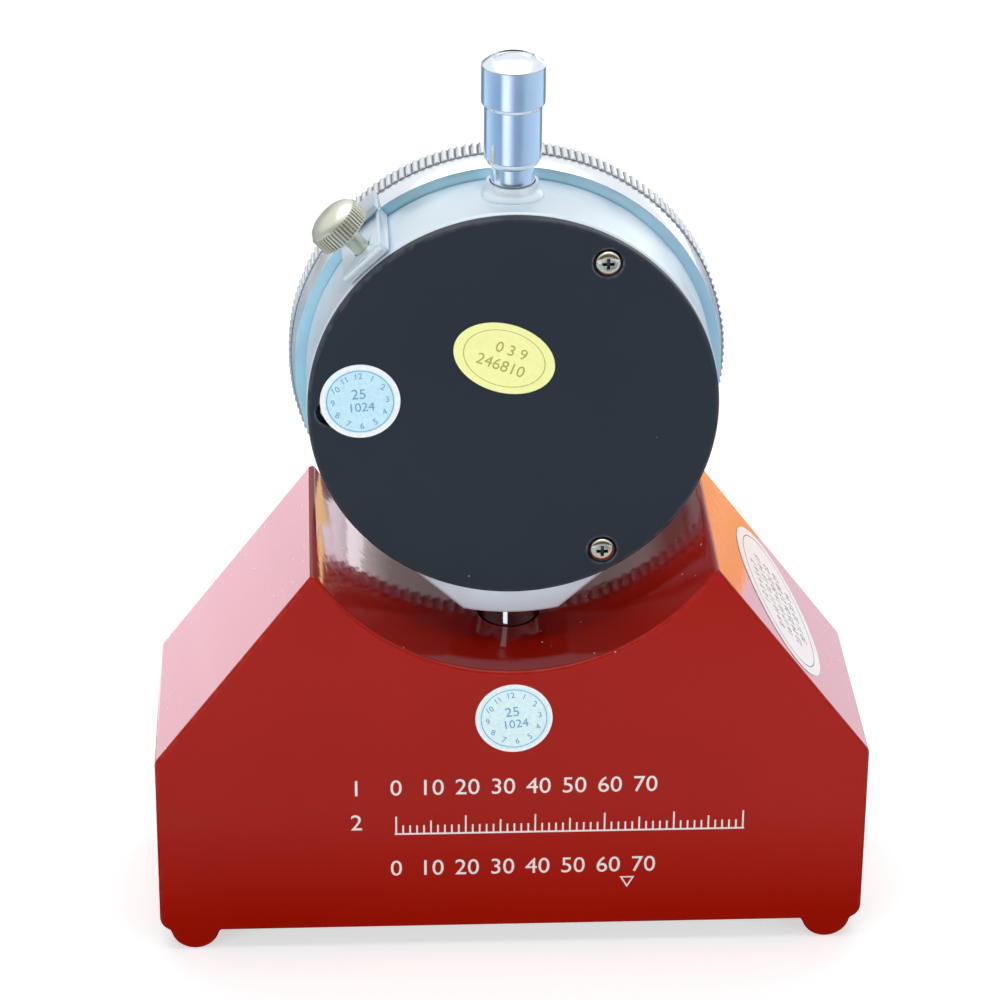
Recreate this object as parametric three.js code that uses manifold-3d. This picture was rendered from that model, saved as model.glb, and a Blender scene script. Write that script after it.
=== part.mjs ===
// Screen tension meter: a dial gauge in a painted cast base with a spring-loaded measuring bar.
// Millimetres, +Z up, +X right, the gauge's back faces -Y and its dial faces +Y.
// The origin lies on the surface it stands on, midway between the feet.

import * as THREE from 'three';
import { mergeVertices } from 'three/addons/utils/BufferGeometryUtils.js';
import Module from 'manifold-3d';

const wasm = await Module();
wasm.setup();

// Clearances and overruns
const slip = 0.15;
const seat = 0.1;
const runGap = 0.3;
const overrun = 1;

// Facets
const roundSides = 48;
const mediumSides = 18;
const smallSides = 10;
const cornerSteps = 3;
const saddleSteps = 24;
const lugSteps = 6;
const snapRingSteps = 36;
const footFacets = 9;

// Base casting
const baseWidth = 95;
const baseDepth = 33;
const baseUnderside = 2.8;
const baseCorner = 2;
const shoulderHeight = 29.1;
const ridgeHeight = 56.9;
const ridgeWidth = 0.55;
const saddleDepth = 14.85;
const saddleMargin = 1.25;
const footRadius = 3.3;
const footInset = 4.7;

// Measuring bar and its screw
const barWidth = 8;
const barLength = 21;
const barHeight = 5;
const barCorner = 2;
const barPlay = 0.5;
const barHeadroom = 1.5;
const barDrop = 2.4;
const barLift = 0.5;
const barScrewRadius = 1.2;
const barScrewHeadRadius = 2.6;
const barScrewHeadHeight = 1.4;
const barScrewSunk = 0.4;
const barScrewLength = 9;
const barScrewSlotWidth = 0.7;
const barScrewSlotDepth = 0.6;

// Plunger, its bush and the measuring spring, in the bores of the casting
const plungerRadius = 2.5;
const plungerStandUp = 3;
const collarPlay = 0.5;
const collarThickness = 1.5;
const chamberStep = 1;
const bushLength = 8.9;
const springWire = 0.7;
const springInset = 0.6;
const springRoom = 9.6;
const springTurns = 8;
const springStepsPerTurn = 8;
const springSides = 5;
const washerThickness = 0.8;
const washerMargin = 0.3;

// Stem and its clamp screw
const stemRadius = 4;
const stemShown = 3.55;
const stemStandIn = 0.2;
const clampRise = 6;
const clampScrewRadius = 2;
const clampScrewSunk = 1;
const clampPointLength = 1.2;
const clampPointRadius = 1.1;
const socketRadius = 1.15;
const socketDepth = 2.5;
const socketSides = 6;

// Gauge case
const trainMargin = 3.61;
const caseWall = 2.1;
const caseBackDepth = 7;
const caseShoulder = 5;
const collarStep = 0.7;
const collarRim = 0.2;
const floorThickness = 1.4;
const dialRecessWall = 1.2;
const grooveDepth = 0.5;
const grooveWidth = 1;
const grooveOffset = 2.2;
const lugLength = 4;
const lugHalfWidth = 6.35;
const lugInset = 0.2;

// Back cover and its screws
const coverThickness = 1.6;
const coverEdge = 0.4;
const coverScrewInset = 1;
const coverScrewAngles = [60, -60, 180];
const coverScrewHeadRadius = 1.6;
const coverScrewHeadHeight = 0.9;
const coverScrewHeadEdge = 0.35;
const coverScrewRadius = 0.85;
const coverScrewLength = 4.5;
const coverScrewSinkDepth = 0.6;
const coverScrewBossWall = 1.45;
const coverScrewBossLength = 6;
const crossWidth = 0.4;
const crossLength = 1.7;
const crossDepth = 0.5;

// Spindle, its bush and its cap
const spindleRadius = 2;
const neckRadius = 2.825;
const neckInside = 1.3;
const bushWall = 0.775;
const bushFlangeWidth = 0.55;
const bushFlangeHeight = 1.7;
const bushInside = 1.2;
const capSpigotRadius = 1.5;
const capSpigotLength = 4.8;
const capLength = 14.3;
const capRadius = 3.75;
const capTaper = 0.3;
const capTaperHeight = 1;
const capHeadStep = 0.3;
const capHeadLength = 6.1;
const capCrownHeight = 1.2;
const capCrownShare = 0.67;
const capTopEdge = 0.2;

// Contact point under the spindle
const tipLength = 6;
const tipBallRadius = 1.3;
const tipBallHeight = 0.9;
const tipConeHeight = 1.8;
const tipThreadRadius = 1;
const tipThreadLength = 3.5;

// Gear train: the rack pinion turns once for each rackTurn of travel
const rackTurn = 10;
const rackPinionTeeth = 16;
const driveTeeth = 100;
const centreTeeth = 10;
const workingDepthShare = 0.5;
const toothHeightShare = 1.76;
const rackFlatShare = 0.8;
const rackHalfTeeth = 9;
const rackPinionWidthShare = 0.5;
const pinionRoom = 0.6;
const arborRadius = 0.5;
const arborTail = 0.8;
const gearHubRadius = 1.4;
const gearHubLength = 0.4;
const gearThickness = 0.6;
const gearClearance = 0.4;
const gearWindows = 4;
const gearWindowPlaceShare = 0.66;
const gearWindowRadiusShare = 0.2;

// Movement plates and pillars
const plateGap = 0.6;
const plateThickness = 0.8;
const plateMargin = 0.8;
const pillarInset = 1.5;
const pillarAngles = [-38, 82, 202];
const pillarRadius = 1.4;
const pillarSpigotRadius = 0.7;
const pillarSpigotLength = 0.8;
const bridgeThickness = 1;
const bridgeCorner = 3;

// Guide pin, its guide and the return spring, left of the spindle
const pinHeight = 3.7;
const pinRadius = 0.6;
const pinOverhang = 0.2;
const guideGap = 1.4;
const guideWidth = 2.8;
const guideEndMargin = 3;
const guideSlotPlay = 0.4;
const returnSpringOffset = 1.2;
const returnSpringRadius = 0.9;
const returnSpringWire = 0.35;
const returnSpringTurns = 9;
const postDrop = 16.3;
const postRadius = 0.6;
const postOverhang = 0.7;

// Hairspring on the take-up arbor
const hairOffset = 2;
const hairWidth = 0.6;
const hairThickness = 0.14;
const hairMargin = 0.5;
const hairGrowth = 3.6;
const hairTurns = 3;
const hairStepsPerTurn = 12;
const studRadius = 0.5;

// Dials, pointer and counter hand
const counterDialRadius = 4.1;
const dialThickness = 0.6;
const dialHoleMargin = 0.9;
const handGap = 0.4;
const handThickness = 0.3;
const pointerReachShare = 0.843;
const pointerTail = 6.5;
const pointerRootHalfWidth = 0.7;
const pointerTipHalfWidth = 0.15;
const pointerHubRadius = 1.5;
const pointerHubLength = 1.5;
const pointerSetback = 0.6;
const counterHandLength = 3.3;
const counterHandTail = 1.5;
const counterHandHalfWidth = 0.3;
const counterHandTipShare = 0.33;
const counterHubRadius = 0.9;
const counterHubLength = 0.9;
const counterSetback = 0.4;

// Bezel, crystal and their rings
const bezelWall = 1.9;
const bezelSkirtLength = 3.7;
const bezelBandStep = 0.3;
const bezelKnurlHeight = 0.5;
const bezelKnurls = 60;
const bezelKnurlRootDepth = 1;
const bezelBevelWidth = 2.4;
const bezelBevelLength = 1.3;
const bezelLipWidth = 1.4;
const bezelLipThickness = 0.8;
const crystalRoom = 0.9;
const crystalThickness = 1.3;
const crystalEdge = 0.3;
const crystalRingWall = 1;
const snapRingGapAngle = 24;

// Bezel lock on the case's rim
const lockAngle = 133.5;
const lockPlateWidth = 7;
const lockPlateThickness = 1.15;
const lockPlateInset = 0.1;
const lockHookThickness = 0.8;
const lockHookOverlap = 1.2;
const lockHookGap = 0.2;
const lockScrewInset = 4.2;
const lockScrewRadius = 1.35;
const lockScrewShown = 2.6;
const lockScrewHeadRadius = 3.7;
const lockScrewHeadLength = 2.9;
const lockScrewDome = 0.5;
const lockScrewDomeShare = 0.8;
const lockScrewKnurls = 24;
const lockScrewKnurlDepth = 0.3;

// Heights in the casting, from the surface it stands on upwards
const halfWidth = baseWidth / 2;
const halfDepth = baseDepth / 2;
const footX = halfWidth - footInset;
const pocketTop = barHeight + barHeadroom;
const bushTop = pocketTop + seat + bushLength;
const chamberRadius = stemRadius + chamberStep;
const collarRadius = chamberRadius - collarPlay;
const collarBottom = bushTop + barDrop + seat;
const collarTop = collarBottom + collarThickness;
const washerBottom = collarTop + springRoom;
const washerTop = washerBottom + washerThickness;
const chamberTop = washerTop + seat;
const springRadius = collarRadius - springInset;
const plungerTop = chamberTop + plungerStandUp;
const stemBottom = chamberTop + seat;
const stemLowerBore = plungerRadius + runGap;
const clampHeight = chamberTop + clampRise;
const tipBottom = plungerTop + seat;
const tipBodyRadius = plungerRadius - runGap;
const tipTop = tipBottom + tipLength;
const stemNeckHeight = tipTop + barLift + runGap;
const spindleBottom = tipTop + seat;

// Gear sizes and places, from the gauge's own axis
const gearModule = rackTurn / (Math.PI * rackPinionTeeth);
const toothPitch = Math.PI * gearModule;
const addendum = gearModule * workingDepthShare;
const toothHeight = gearModule * toothHeightShare;
const rackPinionPitch = gearModule * rackPinionTeeth / 2;
const drivePitch = gearModule * driveTeeth / 2;
const centrePitch = gearModule * centreTeeth / 2;
const arborSpacing = drivePitch + centrePitch;
const rackFlat = spindleRadius * rackFlatShare;
const rackPinionHalfWidth = spindleRadius * rackPinionWidthShare;
const driveX = rackFlat - addendum + rackPinionPitch;
const driveZ = -Math.sqrt(arborSpacing ** 2 - driveX ** 2);
const takeUpX = arborSpacing;

// Depths in the gauge, from the spindle's axis to the front
const plateBack = spindleRadius + plateGap;
const plateFront = plateBack + plateThickness;
const gearDepth = gearThickness + gearHubLength;
const driveGearBack = plateFront + gearClearance;
const takeUpGearBack = driveGearBack + gearDepth + gearClearance;
const bridgeBack = takeUpGearBack + gearDepth + gearClearance;
const bridgeFront = bridgeBack + bridgeThickness;
const floorBack = bridgeFront + runGap;
const floorFront = floorBack + floorThickness;
const caseFront = floorFront + collarRim;
const innerDialBack = floorFront + seat;
const innerDialFront = innerDialBack + dialThickness;
const dialRingBack = caseFront + runGap;
const dialRingFront = dialRingBack + dialThickness;
const counterHubBack = innerDialFront + handGap;
const pointerHubBack = counterHubBack + counterHubLength + handGap;
const pointerHubFront = pointerHubBack + pointerHubLength;
const crystalBack = pointerHubFront + crystalRoom;
const crystalFront = crystalBack + crystalThickness;
const bezelLipBack = crystalFront + seat;
const bezelFront = bezelLipBack + bezelLipThickness;
const bezelBack = caseShoulder + runGap;
const bezelBandBack = bezelBack + bezelSkirtLength;
const bezelBandFront = bezelFront - bezelBevelLength;
const grooveBack = caseShoulder + grooveOffset;
const caseBack = -caseBackDepth;
const coverFace = caseBack - seat - coverThickness;
const hairBack = plateBack - hairOffset;

// Radii in the gauge, whose cavity clears the take-up gear
const cavityRadius = takeUpX + drivePitch + addendum + trainMargin;
const caseRadius = cavityRadius + caseWall;
const caseCollarRadius = caseRadius - collarStep;
const lugRadius = caseRadius + lugLength;
const coverRadius = caseRadius - seat;
const coverScrewCircle = cavityRadius - coverScrewInset;
const coverScrewBossRadius = coverScrewRadius + coverScrewBossWall;
const plateRadius = coverScrewCircle - coverScrewBossRadius - plateMargin;
const pillarCircle = plateRadius - pillarInset;
const platePinionHole = rackPinionPitch + addendum + pinionRoom;
const innerDialRadius = arborSpacing + counterDialRadius;
const dialHoleRadius = arborRadius + dialHoleMargin;
const bezelBore = caseCollarRadius + runGap;
const bezelSkirtRadius = bezelBore + bezelWall;
const bezelBandRadius = bezelSkirtRadius + bezelBandStep;
const bezelKnurlRadius = bezelBandRadius + bezelKnurlHeight;
const bezelFrontRadius = bezelKnurlRadius - bezelBevelWidth;
const bezelLipRadius = bezelBore - bezelLipWidth;
const pointerLength = bezelLipRadius * pointerReachShare;
const lockPlateTop = caseRadius + slip + lockPlateThickness;
const lockScrewHeadStart = lockPlateTop + lockScrewShown;
const lockPlateBack = caseBack + lockPlateInset;
const lockScrewY = lockPlateBack + lockScrewInset;

// The saddle clears the bezel, and the stem's shown length sets the gauge's height above it
const saddleRadius = bezelKnurlRadius + saddleMargin;
const saddleBottom = ridgeHeight - saddleDepth;
const saddleCentre = saddleBottom + saddleRadius;
const gaugeHeight = saddleBottom + stemShown + lugRadius;
const stemTop = gaugeHeight - cavityRadius + stemStandIn;

// Heights above the gauge's axis, and places left of it
const bushBarrelRadius = neckRadius + bushWall;
const bushFlangeRadius = bushBarrelRadius + bushFlangeWidth;
const bushFlangeTop = caseRadius + bushFlangeHeight;
const bushBarrelStart = cavityRadius - bushInside;
const neckStart = bushBarrelStart + neckInside;
const capStart = bushFlangeTop + barDrop + seat;
const guideNear = spindleRadius + guideGap;
const guideFar = guideNear + guideWidth;
const returnSpringX = -guideFar - returnSpringRadius - returnSpringOffset;
const pinReach = returnSpringRadius + pinOverhang - returnSpringX;
const hairInnerRadius = arborRadius + hairMargin;
const hairOuterRadius = hairInnerRadius + hairGrowth;

const rad = THREE.MathUtils.degToRad;

// Materials
const paint = new THREE.MeshStandardMaterial({ color: 0x9e2822, roughness: 0.25, metalness: 0 });
const satin = new THREE.MeshStandardMaterial({ color: 0xaebcd0, roughness: 0.35, metalness: 0.8 });
const chrome = new THREE.MeshStandardMaterial({ color: 0xc9d2dc, roughness: 0.12, metalness: 1 });
const steel = new THREE.MeshStandardMaterial({ color: 0x8f969e, roughness: 0.4, metalness: 0.9 });
const brass = new THREE.MeshStandardMaterial({ color: 0xb99a58, roughness: 0.35, metalness: 0.9 });
const nickel = new THREE.MeshStandardMaterial({ color: 0xc3bda3, roughness: 0.3, metalness: 0.9 });
const slate = new THREE.MeshStandardMaterial({ color: 0x2c333c, roughness: 0.5, metalness: 0 });
const white = new THREE.MeshStandardMaterial({ color: 0xf2f2ee, roughness: 0.6, metalness: 0 });
const black = new THREE.MeshStandardMaterial({ color: 0x17181a, roughness: 0.5, metalness: 0 });
const glass = new THREE.MeshStandardMaterial({ color: 0xdfe8ea, roughness: 0.05, metalness: 0 });

// A solid that can be cut and joined, from a closed geometry; faces that have shrunk to a line are left out
function solidOf(geometry) {
  const bare = geometry.clone();
  bare.deleteAttribute('normal');
  bare.deleteAttribute('uv');
  const merged = mergeVertices(bare);
  const corners = merged.index.array;
  const faces = [];
  for (let i = 0; i < corners.length; i += 3) {
    const [a, b, c] = [corners[i], corners[i + 1], corners[i + 2]];
    if (a !== b && b !== c && c !== a) {
      faces.push(a, b, c);
    }
  }
  const vertProperties = new Float32Array(merged.attributes.position.array);
  return new wasm.Manifold(new wasm.Mesh({ numProp: 3, vertProperties, triVerts: new Uint32Array(faces) }));
}

// A named mesh from a solid
function piece(name, solid, material) {
  const { vertProperties, triVerts } = solid.getMesh();
  const geometry = new THREE.BufferGeometry();
  geometry.setAttribute('position', new THREE.Float32BufferAttribute(vertProperties, 3));
  geometry.setIndex(Array.from(triVerts));
  geometry.computeVertexNormals();
  const mesh = new THREE.Mesh(geometry, material);
  mesh.name = name;
  return mesh;
}

function joined(first, ...others) {
  return others.reduce((whole, other) => whole.add(other), first);
}

function cutBy(solid, ...tools) {
  return tools.reduce((rest, tool) => rest.subtract(tool), solid);
}

// Turned about the gauge's own axis, +Y; the profile holds [radius, y] pairs, anticlockwise
function turnedY(profile, sides = roundSides, x = 0, z = 0) {
  const points = [...profile, profile[0]].map(([r, h]) => new THREE.Vector2(r, h));
  return solidOf(new THREE.LatheGeometry(points, sides).translate(x, 0, z));
}

// Turned about a vertical axis; the profile holds [radius, z] pairs, anticlockwise
function turnedZ(profile, sides = mediumSides, x = 0, y = 0) {
  const points = [...profile, profile[0]].map(([r, h]) => new THREE.Vector2(r, h));
  return solidOf(new THREE.LatheGeometry(points, sides).rotateX(Math.PI / 2).translate(x, y, 0));
}

function rodProfile(radius, from, to) {
  return [[0, from], [radius, from], [radius, to], [0, to]];
}

function tubeProfile(inner, outer, from, to) {
  return [[inner, from], [outer, from], [outer, to], [inner, to]];
}

function rodY(radius, from, to, x = 0, z = 0, sides = smallSides) {
  return turnedY(rodProfile(radius, from, to), sides, x, z);
}

function rodZ(radius, from, to, x = 0, y = 0, sides = mediumSides) {
  return turnedZ(rodProfile(radius, from, to), sides, x, y);
}

function rodX(radius, from, to, y, z, sides = smallSides) {
  const points = rodProfile(radius, from, to).map(([r, h]) => new THREE.Vector2(r, h));
  return solidOf(new THREE.LatheGeometry(points, sides).rotateZ(-Math.PI / 2).translate(0, y, z));
}

function box(xFrom, xTo, yFrom, yTo, zFrom, zTo) {
  const geometry = new THREE.BoxGeometry(xTo - xFrom, yTo - yFrom, zTo - zFrom);
  return solidOf(geometry.translate((xFrom + xTo) / 2, (yFrom + yTo) / 2, (zFrom + zTo) / 2));
}

function shapeOf(points) {
  return new THREE.Shape(points.map(([a, b]) => new THREE.Vector2(a, b)));
}

// An outline of [x, z] pairs carried from one y to another
function slabY(points, from, to) {
  const geometry = new THREE.ExtrudeGeometry(shapeOf(points), { depth: to - from, bevelEnabled: false });
  return solidOf(geometry.rotateX(Math.PI / 2).translate(0, to, 0));
}

// An outline of [y, z] pairs carried from one x to another
function slabX(points, from, to) {
  const geometry = new THREE.ExtrudeGeometry(shapeOf(points), { depth: to - from, bevelEnabled: false });
  return solidOf(geometry.rotateX(Math.PI / 2).rotateZ(Math.PI / 2).translate(from, 0, 0));
}

function arc(x, z, radius, fromDegrees, toDegrees, steps) {
  const points = [];
  for (let i = 0; i <= steps; i += 1) {
    const angle = rad(fromDegrees + (toDegrees - fromDegrees) * i / steps);
    points.push([x + radius * Math.cos(angle), z + radius * Math.sin(angle)]);
  }
  return points;
}

// Pointed teeth round a circle, with one tooth's point at the angle named start, in radians
function toothed(teeth, tipRadius, height, start, x = 0, z = 0) {
  const points = [];
  for (let i = 0; i < teeth * 2; i += 1) {
    const radius = i % 2 === 0 ? tipRadius : tipRadius - height;
    const angle = start + Math.PI * i / teeth;
    points.push([x + radius * Math.cos(angle), z + radius * Math.sin(angle)]);
  }
  return points;
}

// A wire along a curve, as one closed tube
function wire(curve, radius, steps, sides) {
  const section = new THREE.Shape();
  for (let i = 0; i < sides; i += 1) {
    const angle = 2 * Math.PI * i / sides;
    const corner = [radius * Math.cos(angle), radius * Math.sin(angle)];
    if (i === 0) {
      section.moveTo(...corner);
    } else {
      section.lineTo(...corner);
    }
  }
  return solidOf(new THREE.ExtrudeGeometry(section, { steps, bevelEnabled: false, extrudePath: curve }));
}

class Coil extends THREE.Curve {
  constructor(x, y, radius, bottom, top, turns) {
    super();
    Object.assign(this, { x, y, radius, bottom, top, turns });
  }

  getPoint(t, target = new THREE.Vector3()) {
    const angle = 2 * Math.PI * this.turns * t;
    const height = this.bottom + (this.top - this.bottom) * t;
    return target.set(this.x + this.radius * Math.cos(angle), this.y + this.radius * Math.sin(angle), height);
  }
}

// The painted casting: slanted shoulders, round saddle, half-round feet, and the bores down its middle
function baseBlock() {
  const ridgeAngle = Math.asin((saddleCentre - ridgeHeight) / saddleRadius) * 180 / Math.PI;
  const ridgeX = saddleRadius * Math.cos(rad(ridgeAngle)) + ridgeWidth;
  const outline = [
    ...arc(-halfWidth + baseCorner, baseUnderside + baseCorner, baseCorner, 180, 270, cornerSteps),
    ...arc(halfWidth - baseCorner, baseUnderside + baseCorner, baseCorner, 270, 360, cornerSteps),
    [halfWidth, shoulderHeight],
    [ridgeX, ridgeHeight],
    ...arc(0, saddleCentre, saddleRadius, -ridgeAngle, ridgeAngle - 180, saddleSteps),
    [-ridgeX, ridgeHeight],
    [-halfWidth, shoulderHeight],
  ];
  const footArc = footRadius / Math.cos(Math.PI / (2 * footFacets));
  const feet = [-footX, footX].map((x) => slabY([
    ...arc(x, footRadius, footArc, 180, 360, footFacets),
    [x + footRadius, footRadius + baseCorner],
    [x - footRadius, footRadius + baseCorner],
  ], -halfDepth, halfDepth));
  const pocketHalfWidth = barWidth / 2 + barPlay;
  const pocketHalfLength = barLength / 2 + barPlay;
  return cutBy(
    joined(slabY(outline, -halfDepth, halfDepth), ...feet),
    box(-pocketHalfWidth, pocketHalfWidth, -pocketHalfLength, pocketHalfLength, 0, pocketTop),
    rodZ(chamberRadius, pocketTop - overrun, chamberTop),
    rodZ(stemRadius + slip, chamberTop - overrun, ridgeHeight),
    rodY(clampScrewRadius + slip, stemRadius, halfDepth + overrun, 0, clampHeight, mediumSides),
  );
}

function clampScrew() {
  const tip = stemRadius + slip + seat;
  const head = halfDepth - clampScrewSunk;
  const profile = [
    [0, tip],
    [clampPointRadius, tip],
    [clampScrewRadius, tip + clampPointLength],
    [clampScrewRadius, head],
    [0, head],
  ];
  const socket = rodY(socketRadius, head - socketDepth, head + overrun, 0, clampHeight, socketSides);
  return cutBy(turnedY(profile, mediumSides, 0, clampHeight), socket);
}

function plungerBush() {
  const outer = chamberRadius - slip;
  return turnedZ(tubeProfile(plungerRadius + slip, outer, pocketTop + seat, bushTop));
}

function springWasher() {
  const inner = plungerRadius + washerMargin;
  return turnedZ(tubeProfile(inner, chamberRadius - washerMargin, washerBottom, washerTop));
}

// The bar that rests on the screen, rounded along its lower edges
function measuringBar() {
  const side = barWidth / 2;
  const outline = [
    ...arc(-side + barCorner, barCorner, barCorner, 180, 270, cornerSteps),
    ...arc(side - barCorner, barCorner, barCorner, 270, 360, cornerSteps),
    [side, barHeight],
    [-side, barHeight],
  ];
  const headBottom = barScrewSunk + barScrewHeadHeight;
  const sink = turnedZ([
    [0, -overrun],
    [barScrewHeadRadius + slip, -overrun],
    [barScrewHeadRadius + slip, barScrewSunk],
    [barScrewRadius + slip, headBottom],
    [barScrewRadius + slip, barHeight + overrun],
    [0, barHeight + overrun],
  ]);
  return cutBy(slabY(outline, -barLength / 2, barLength / 2), sink);
}

function barScrew() {
  const headBottom = barScrewSunk + barScrewHeadHeight;
  const profile = [
    [0, barScrewSunk],
    [barScrewHeadRadius, barScrewSunk + seat],
    [barScrewRadius, headBottom + seat],
    [barScrewRadius, barScrewSunk + barScrewLength],
    [0, barScrewSunk + barScrewLength],
  ];
  const slotSide = barScrewSlotWidth / 2;
  const slotEnd = barScrewHeadRadius + overrun;
  const slot = box(-slotSide, slotSide, -slotEnd, slotEnd, 0, barScrewSunk + barScrewSlotDepth);
  return cutBy(turnedZ(profile), slot);
}

function plungerRod() {
  const bottom = barHeight + seat;
  const profile = [
    [0, bottom],
    [plungerRadius, bottom],
    [plungerRadius, collarBottom],
    [collarRadius, collarBottom],
    [collarRadius, collarTop],
    [plungerRadius, collarTop],
    [plungerRadius, plungerTop],
    [0, plungerTop],
  ];
  const threadEnd = barScrewSunk + barScrewLength + seat;
  return cutBy(turnedZ(profile), rodZ(barScrewRadius + slip, bottom - overrun, threadEnd));
}

function measuringSpring() {
  const bottom = collarTop + seat + springWire / 2;
  const top = washerBottom - seat - springWire / 2;
  const coil = new Coil(0, 0, springRadius, bottom, top, springTurns);
  return wire(coil, springWire / 2, springTurns * springStepsPerTurn, springSides);
}

function stem() {
  const inner = spindleRadius + slip;
  return turnedZ([
    [stemLowerBore, stemBottom],
    [stemRadius, stemBottom],
    [stemRadius, stemTop],
    [inner, stemTop],
    [inner, stemNeckHeight],
    [stemLowerBore, stemNeckHeight],
  ]);
}

function contactTip() {
  return turnedZ([
    [0, tipBottom],
    [tipBallRadius * Math.SQRT1_2, tipBottom + tipBallHeight * (1 - Math.SQRT1_2)],
    [tipBallRadius, tipBottom + tipBallHeight],
    [tipBodyRadius, tipBottom + tipConeHeight],
    [tipBodyRadius, tipTop],
    [tipThreadRadius, tipTop],
    [tipThreadRadius, tipTop + tipThreadLength],
    [0, tipTop + tipThreadLength],
  ], smallSides);
}

// The rack's teeth as the space that is cut from the spindle's side
function rackSpace() {
  const outside = spindleRadius + overrun;
  const points = [[outside, gaugeHeight + driveZ - rackHalfTeeth * toothPitch]];
  for (let i = -rackHalfTeeth * 2; i <= rackHalfTeeth * 2; i += 1) {
    const x = i % 2 === 0 ? rackFlat : rackFlat - toothHeight;
    points.push([x, gaugeHeight + driveZ + i * toothPitch / 2]);
  }
  points.push([outside, gaugeHeight + driveZ + rackHalfTeeth * toothPitch]);
  return slabY(points, -outside, outside);
}

function gaugeSpindle() {
  const neckBottom = gaugeHeight + neckStart;
  const neckTop = gaugeHeight + capStart - seat;
  const spigotTop = neckTop + capSpigotLength;
  const body = turnedZ([
    [0, spindleBottom],
    [spindleRadius, spindleBottom],
    [spindleRadius, neckBottom],
    [neckRadius, neckBottom],
    [neckRadius, neckTop],
    [capSpigotRadius, neckTop],
    [capSpigotRadius, spigotTop],
    [0, spigotTop],
  ]);
  const threadEnd = tipTop + tipThreadLength + seat;
  return cutBy(
    body,
    rodZ(tipThreadRadius + slip, spindleBottom - overrun, threadEnd, 0, 0, smallSides),
    rodX(pinRadius + slip, -neckRadius, neckRadius, 0, gaugeHeight + pinHeight),
    rackSpace(),
  );
}

function liftCap() {
  const bottom = gaugeHeight + capStart;
  const top = bottom + capLength;
  const headStart = top - capHeadLength;
  const headRadius = capRadius + capHeadStep;
  const bore = capSpigotRadius + slip;
  const boreTop = bottom + capSpigotLength + seat;
  return turnedZ([
    [bore, bottom],
    [capRadius - capTaper, bottom],
    [capRadius, bottom + capTaperHeight],
    [capRadius, headStart - capHeadStep],
    [headRadius, headStart],
    [headRadius, top - capCrownHeight],
    [headRadius * capCrownShare, top - capTopEdge],
    [0, top],
    [0, boreTop],
    [bore, boreTop],
  ]);
}

function guidePin() {
  return rodX(pinRadius, -pinReach, rackFlat, 0, gaugeHeight + pinHeight);
}

// The cast case: a cup with its floor to the front, a collar for the bezel and a lug for the stem
function gaugeCase() {
  const grooveFloor = caseCollarRadius - grooveDepth;
  const cup = turnedY([
    [0, floorBack],
    [cavityRadius, floorBack],
    [cavityRadius, caseBack],
    [caseRadius, caseBack],
    [caseRadius, caseShoulder],
    [caseCollarRadius, caseShoulder],
    [caseCollarRadius, grooveBack],
    [grooveFloor, grooveBack],
    [grooveFloor, grooveBack + grooveWidth],
    [caseCollarRadius, grooveBack + grooveWidth],
    [caseCollarRadius, caseFront],
    [caseCollarRadius - dialRecessWall, caseFront],
    [caseCollarRadius - dialRecessWall, floorFront],
    [0, floorFront],
  ]);
  const lugAngle = Math.asin(lugHalfWidth / lugRadius) * 180 / Math.PI;
  const meetAngle = lugAngle + Math.acos(caseRadius / lugRadius) * 180 / Math.PI;
  const meetRadius = caseRadius - lugInset;
  const lug = slabY([
    ...arc(0, 0, lugRadius, 270 - lugAngle, 270 + lugAngle, lugSteps),
    ...arc(0, 0, meetRadius, 270 + meetAngle, 270 - meetAngle, lugSteps * 2),
  ], caseBack + lugInset, caseShoulder - lugInset);
  const wallMiddle = cavityRadius + caseWall / 2;
  const lugRoom = turnedY(rodProfile(wallMiddle, caseBack - overrun, caseShoulder + overrun));
  const bosses = coverScrewPlaces().map(([x, z]) => (
    rodY(coverScrewBossRadius, caseBack, caseBack + coverScrewBossLength, x, z)));
  const screwHoles = coverScrewPlaces().map(([x, z]) => (
    rodY(coverScrewRadius + slip, caseBack - overrun, caseBack + coverScrewLength, x, z)));
  const spigotHoles = pillarPlaces().map(([x, z]) => (
    rodY(pillarSpigotRadius + slip, floorBack - overrun, floorBack + pillarSpigotLength + seat, x, z)));
  return cutBy(
    joined(cup, cutBy(lug, lugRoom), ...bosses),
    rodZ(stemRadius + slip, -lugRadius - overrun, -cavityRadius + stemRadius),
    rodZ(bushBarrelRadius + slip, bushBarrelStart - overrun, caseRadius + overrun),
    rodY(dialHoleRadius, floorBack - overrun, floorFront + overrun),
    rodY(dialHoleRadius, floorBack - overrun, floorFront + overrun, takeUpX, 0),
    lockBore(lockScrewRadius + slip, cavityRadius - caseWall, caseRadius + overrun),
    ...screwHoles,
    ...spigotHoles,
  );
}

function onCircle(radius, degrees) {
  return [radius * Math.cos(rad(degrees)), radius * Math.sin(rad(degrees))];
}

function coverScrewPlaces() {
  return coverScrewAngles.map((degrees) => onCircle(coverScrewCircle, degrees));
}

function pillarPlaces() {
  return pillarAngles.map((degrees) => onCircle(pillarCircle, degrees));
}

// A round bore along the lock screw's radius, in the gauge's own frame
function lockBore(radius, from, to) {
  const points = rodProfile(radius, from, to).map(([r, h]) => new THREE.Vector2(r, h));
  const geometry = new THREE.LatheGeometry(points, smallSides).rotateX(Math.PI / 2);
  return solidOf(geometry.translate(0, lockScrewY, 0).rotateY(rad(90 - lockAngle)));
}

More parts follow.
